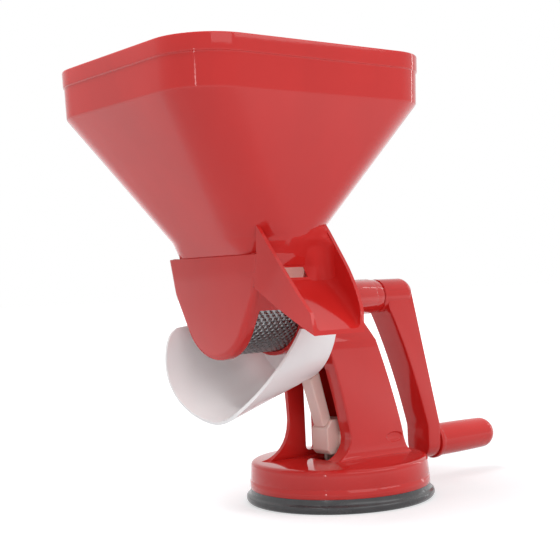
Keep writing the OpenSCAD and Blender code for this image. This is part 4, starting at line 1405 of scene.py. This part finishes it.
class PRESS_OT_hopper(bpy.types.Operator):
    """Makes the hopper's funnel and the drum below it"""

    bl_idname = "tomato_press.hopper"
    bl_label = "Hopper and drum"

    def execute(self, context):
        add_funnel()
        add_drum()
        add_lugs()
        return {"FINISHED"}


class PRESS_OT_chute(bpy.types.Operator):
    """Makes the skins chute and the wall around its slot"""

    bl_idname = "tomato_press.chute"
    bl_label = "Skins chute"

    def execute(self, context):
        add_chute()
        add_chute_back()
        return {"FINISHED"}


class PRESS_OT_sieve(bpy.types.Operator):
    """Makes the perforated sieve"""

    bl_idname = "tomato_press.sieve"
    bl_label = "Sieve"

    def execute(self, context):
        add_sieve()
        return {"FINISHED"}


class PRESS_OT_tray(bpy.types.Operator):
    """Makes the juice tray and its hooks"""

    bl_idname = "tomato_press.tray"
    bl_label = "Juice tray"

    def execute(self, context):
        add_tray()
        return {"FINISHED"}


class PRESS_OT_stand(bpy.types.Operator):
    """Makes the base, the column and the barrel"""

    bl_idname = "tomato_press.stand"
    bl_label = "Stand"

    def execute(self, context):
        add_base()
        add_column()
        add_barrel()
        return {"FINISHED"}


class PRESS_OT_foot(bpy.types.Operator):
    """Makes the rubber suction foot"""

    bl_idname = "tomato_press.foot"
    bl_label = "Rubber foot"

    def execute(self, context):
        add_foot()
        return {"FINISHED"}


class PRESS_OT_crank(bpy.types.Operator):
    """Makes the crank and its grip"""

    bl_idname = "tomato_press.crank"
    bl_label = "Crank and grip"

    def execute(self, context):
        add_crank()
        add_grip()
        return {"FINISHED"}


class PRESS_OT_lever(bpy.types.Operator):
    """Makes the lever that locks the suction foot"""

    bl_idname = "tomato_press.lever"
    bl_label = "Suction lever"

    def execute(self, context):
        add_lever()
        return {"FINISHED"}


class PRESS_OT_inner(bpy.types.Operator):
    """Makes the blades' springs and finishes the shaft, the rotor, the bushes and the other inner parts"""

    bl_idname = "tomato_press.inner"
    bl_label = "Inner parts"

    def execute(self, context):
        add_springs()
        finish_inner_parts()
        return {"FINISHED"}


OPERATORS = (PRESS_OT_stage, PRESS_OT_hopper, PRESS_OT_chute, PRESS_OT_sieve, PRESS_OT_tray, PRESS_OT_stand,
             PRESS_OT_foot, PRESS_OT_crank, PRESS_OT_lever, PRESS_OT_inner)


class PRESS_PT_panel(bpy.types.Panel):
    """Lists the steps and the settings"""

    bl_idname = "PRESS_PT_panel"
    bl_label = "Tomato Press"
    bl_space_type = "VIEW_3D"
    bl_region_type = "UI"
    bl_category = "Tomato Press"

    def draw(self, context):
        layout = self.layout
        for operator in OPERATORS:
            layout.operator(operator.bl_idname)
        settings = context.scene.tomato_press
        for group in (settings.shell, settings.stand, settings.parts, settings.colours, settings.view):
            box = layout.box()
            for name in group.__annotations__:
                box.prop(group, name)


CLASSES = (PressShell, PressStand, PressParts, PressColours, PressView, PressSettings, *OPERATORS,
           PRESS_PT_panel)


def register():
    """Makes the classes and the settings known."""
    for cls in CLASSES:
        bpy.utils.register_class(cls)
    bpy.types.Scene.tomato_press = bpy.props.PointerProperty(type=PressSettings)


def unregister():
    """Takes the classes and the settings away again."""
    del bpy.types.Scene.tomato_press
    for cls in reversed(CLASSES):
        bpy.utils.unregister_class(cls)


def main():
    """Makes the stage and every piece."""
    register()
    steps = bpy.ops.tomato_press
    steps.stage()
    steps.hopper()
    steps.chute()
    steps.sieve()
    steps.tray()
    steps.stand()
    steps.foot()
    steps.crank()
    steps.lever()
    steps.inner()


if __name__ == "__main__":
    main()
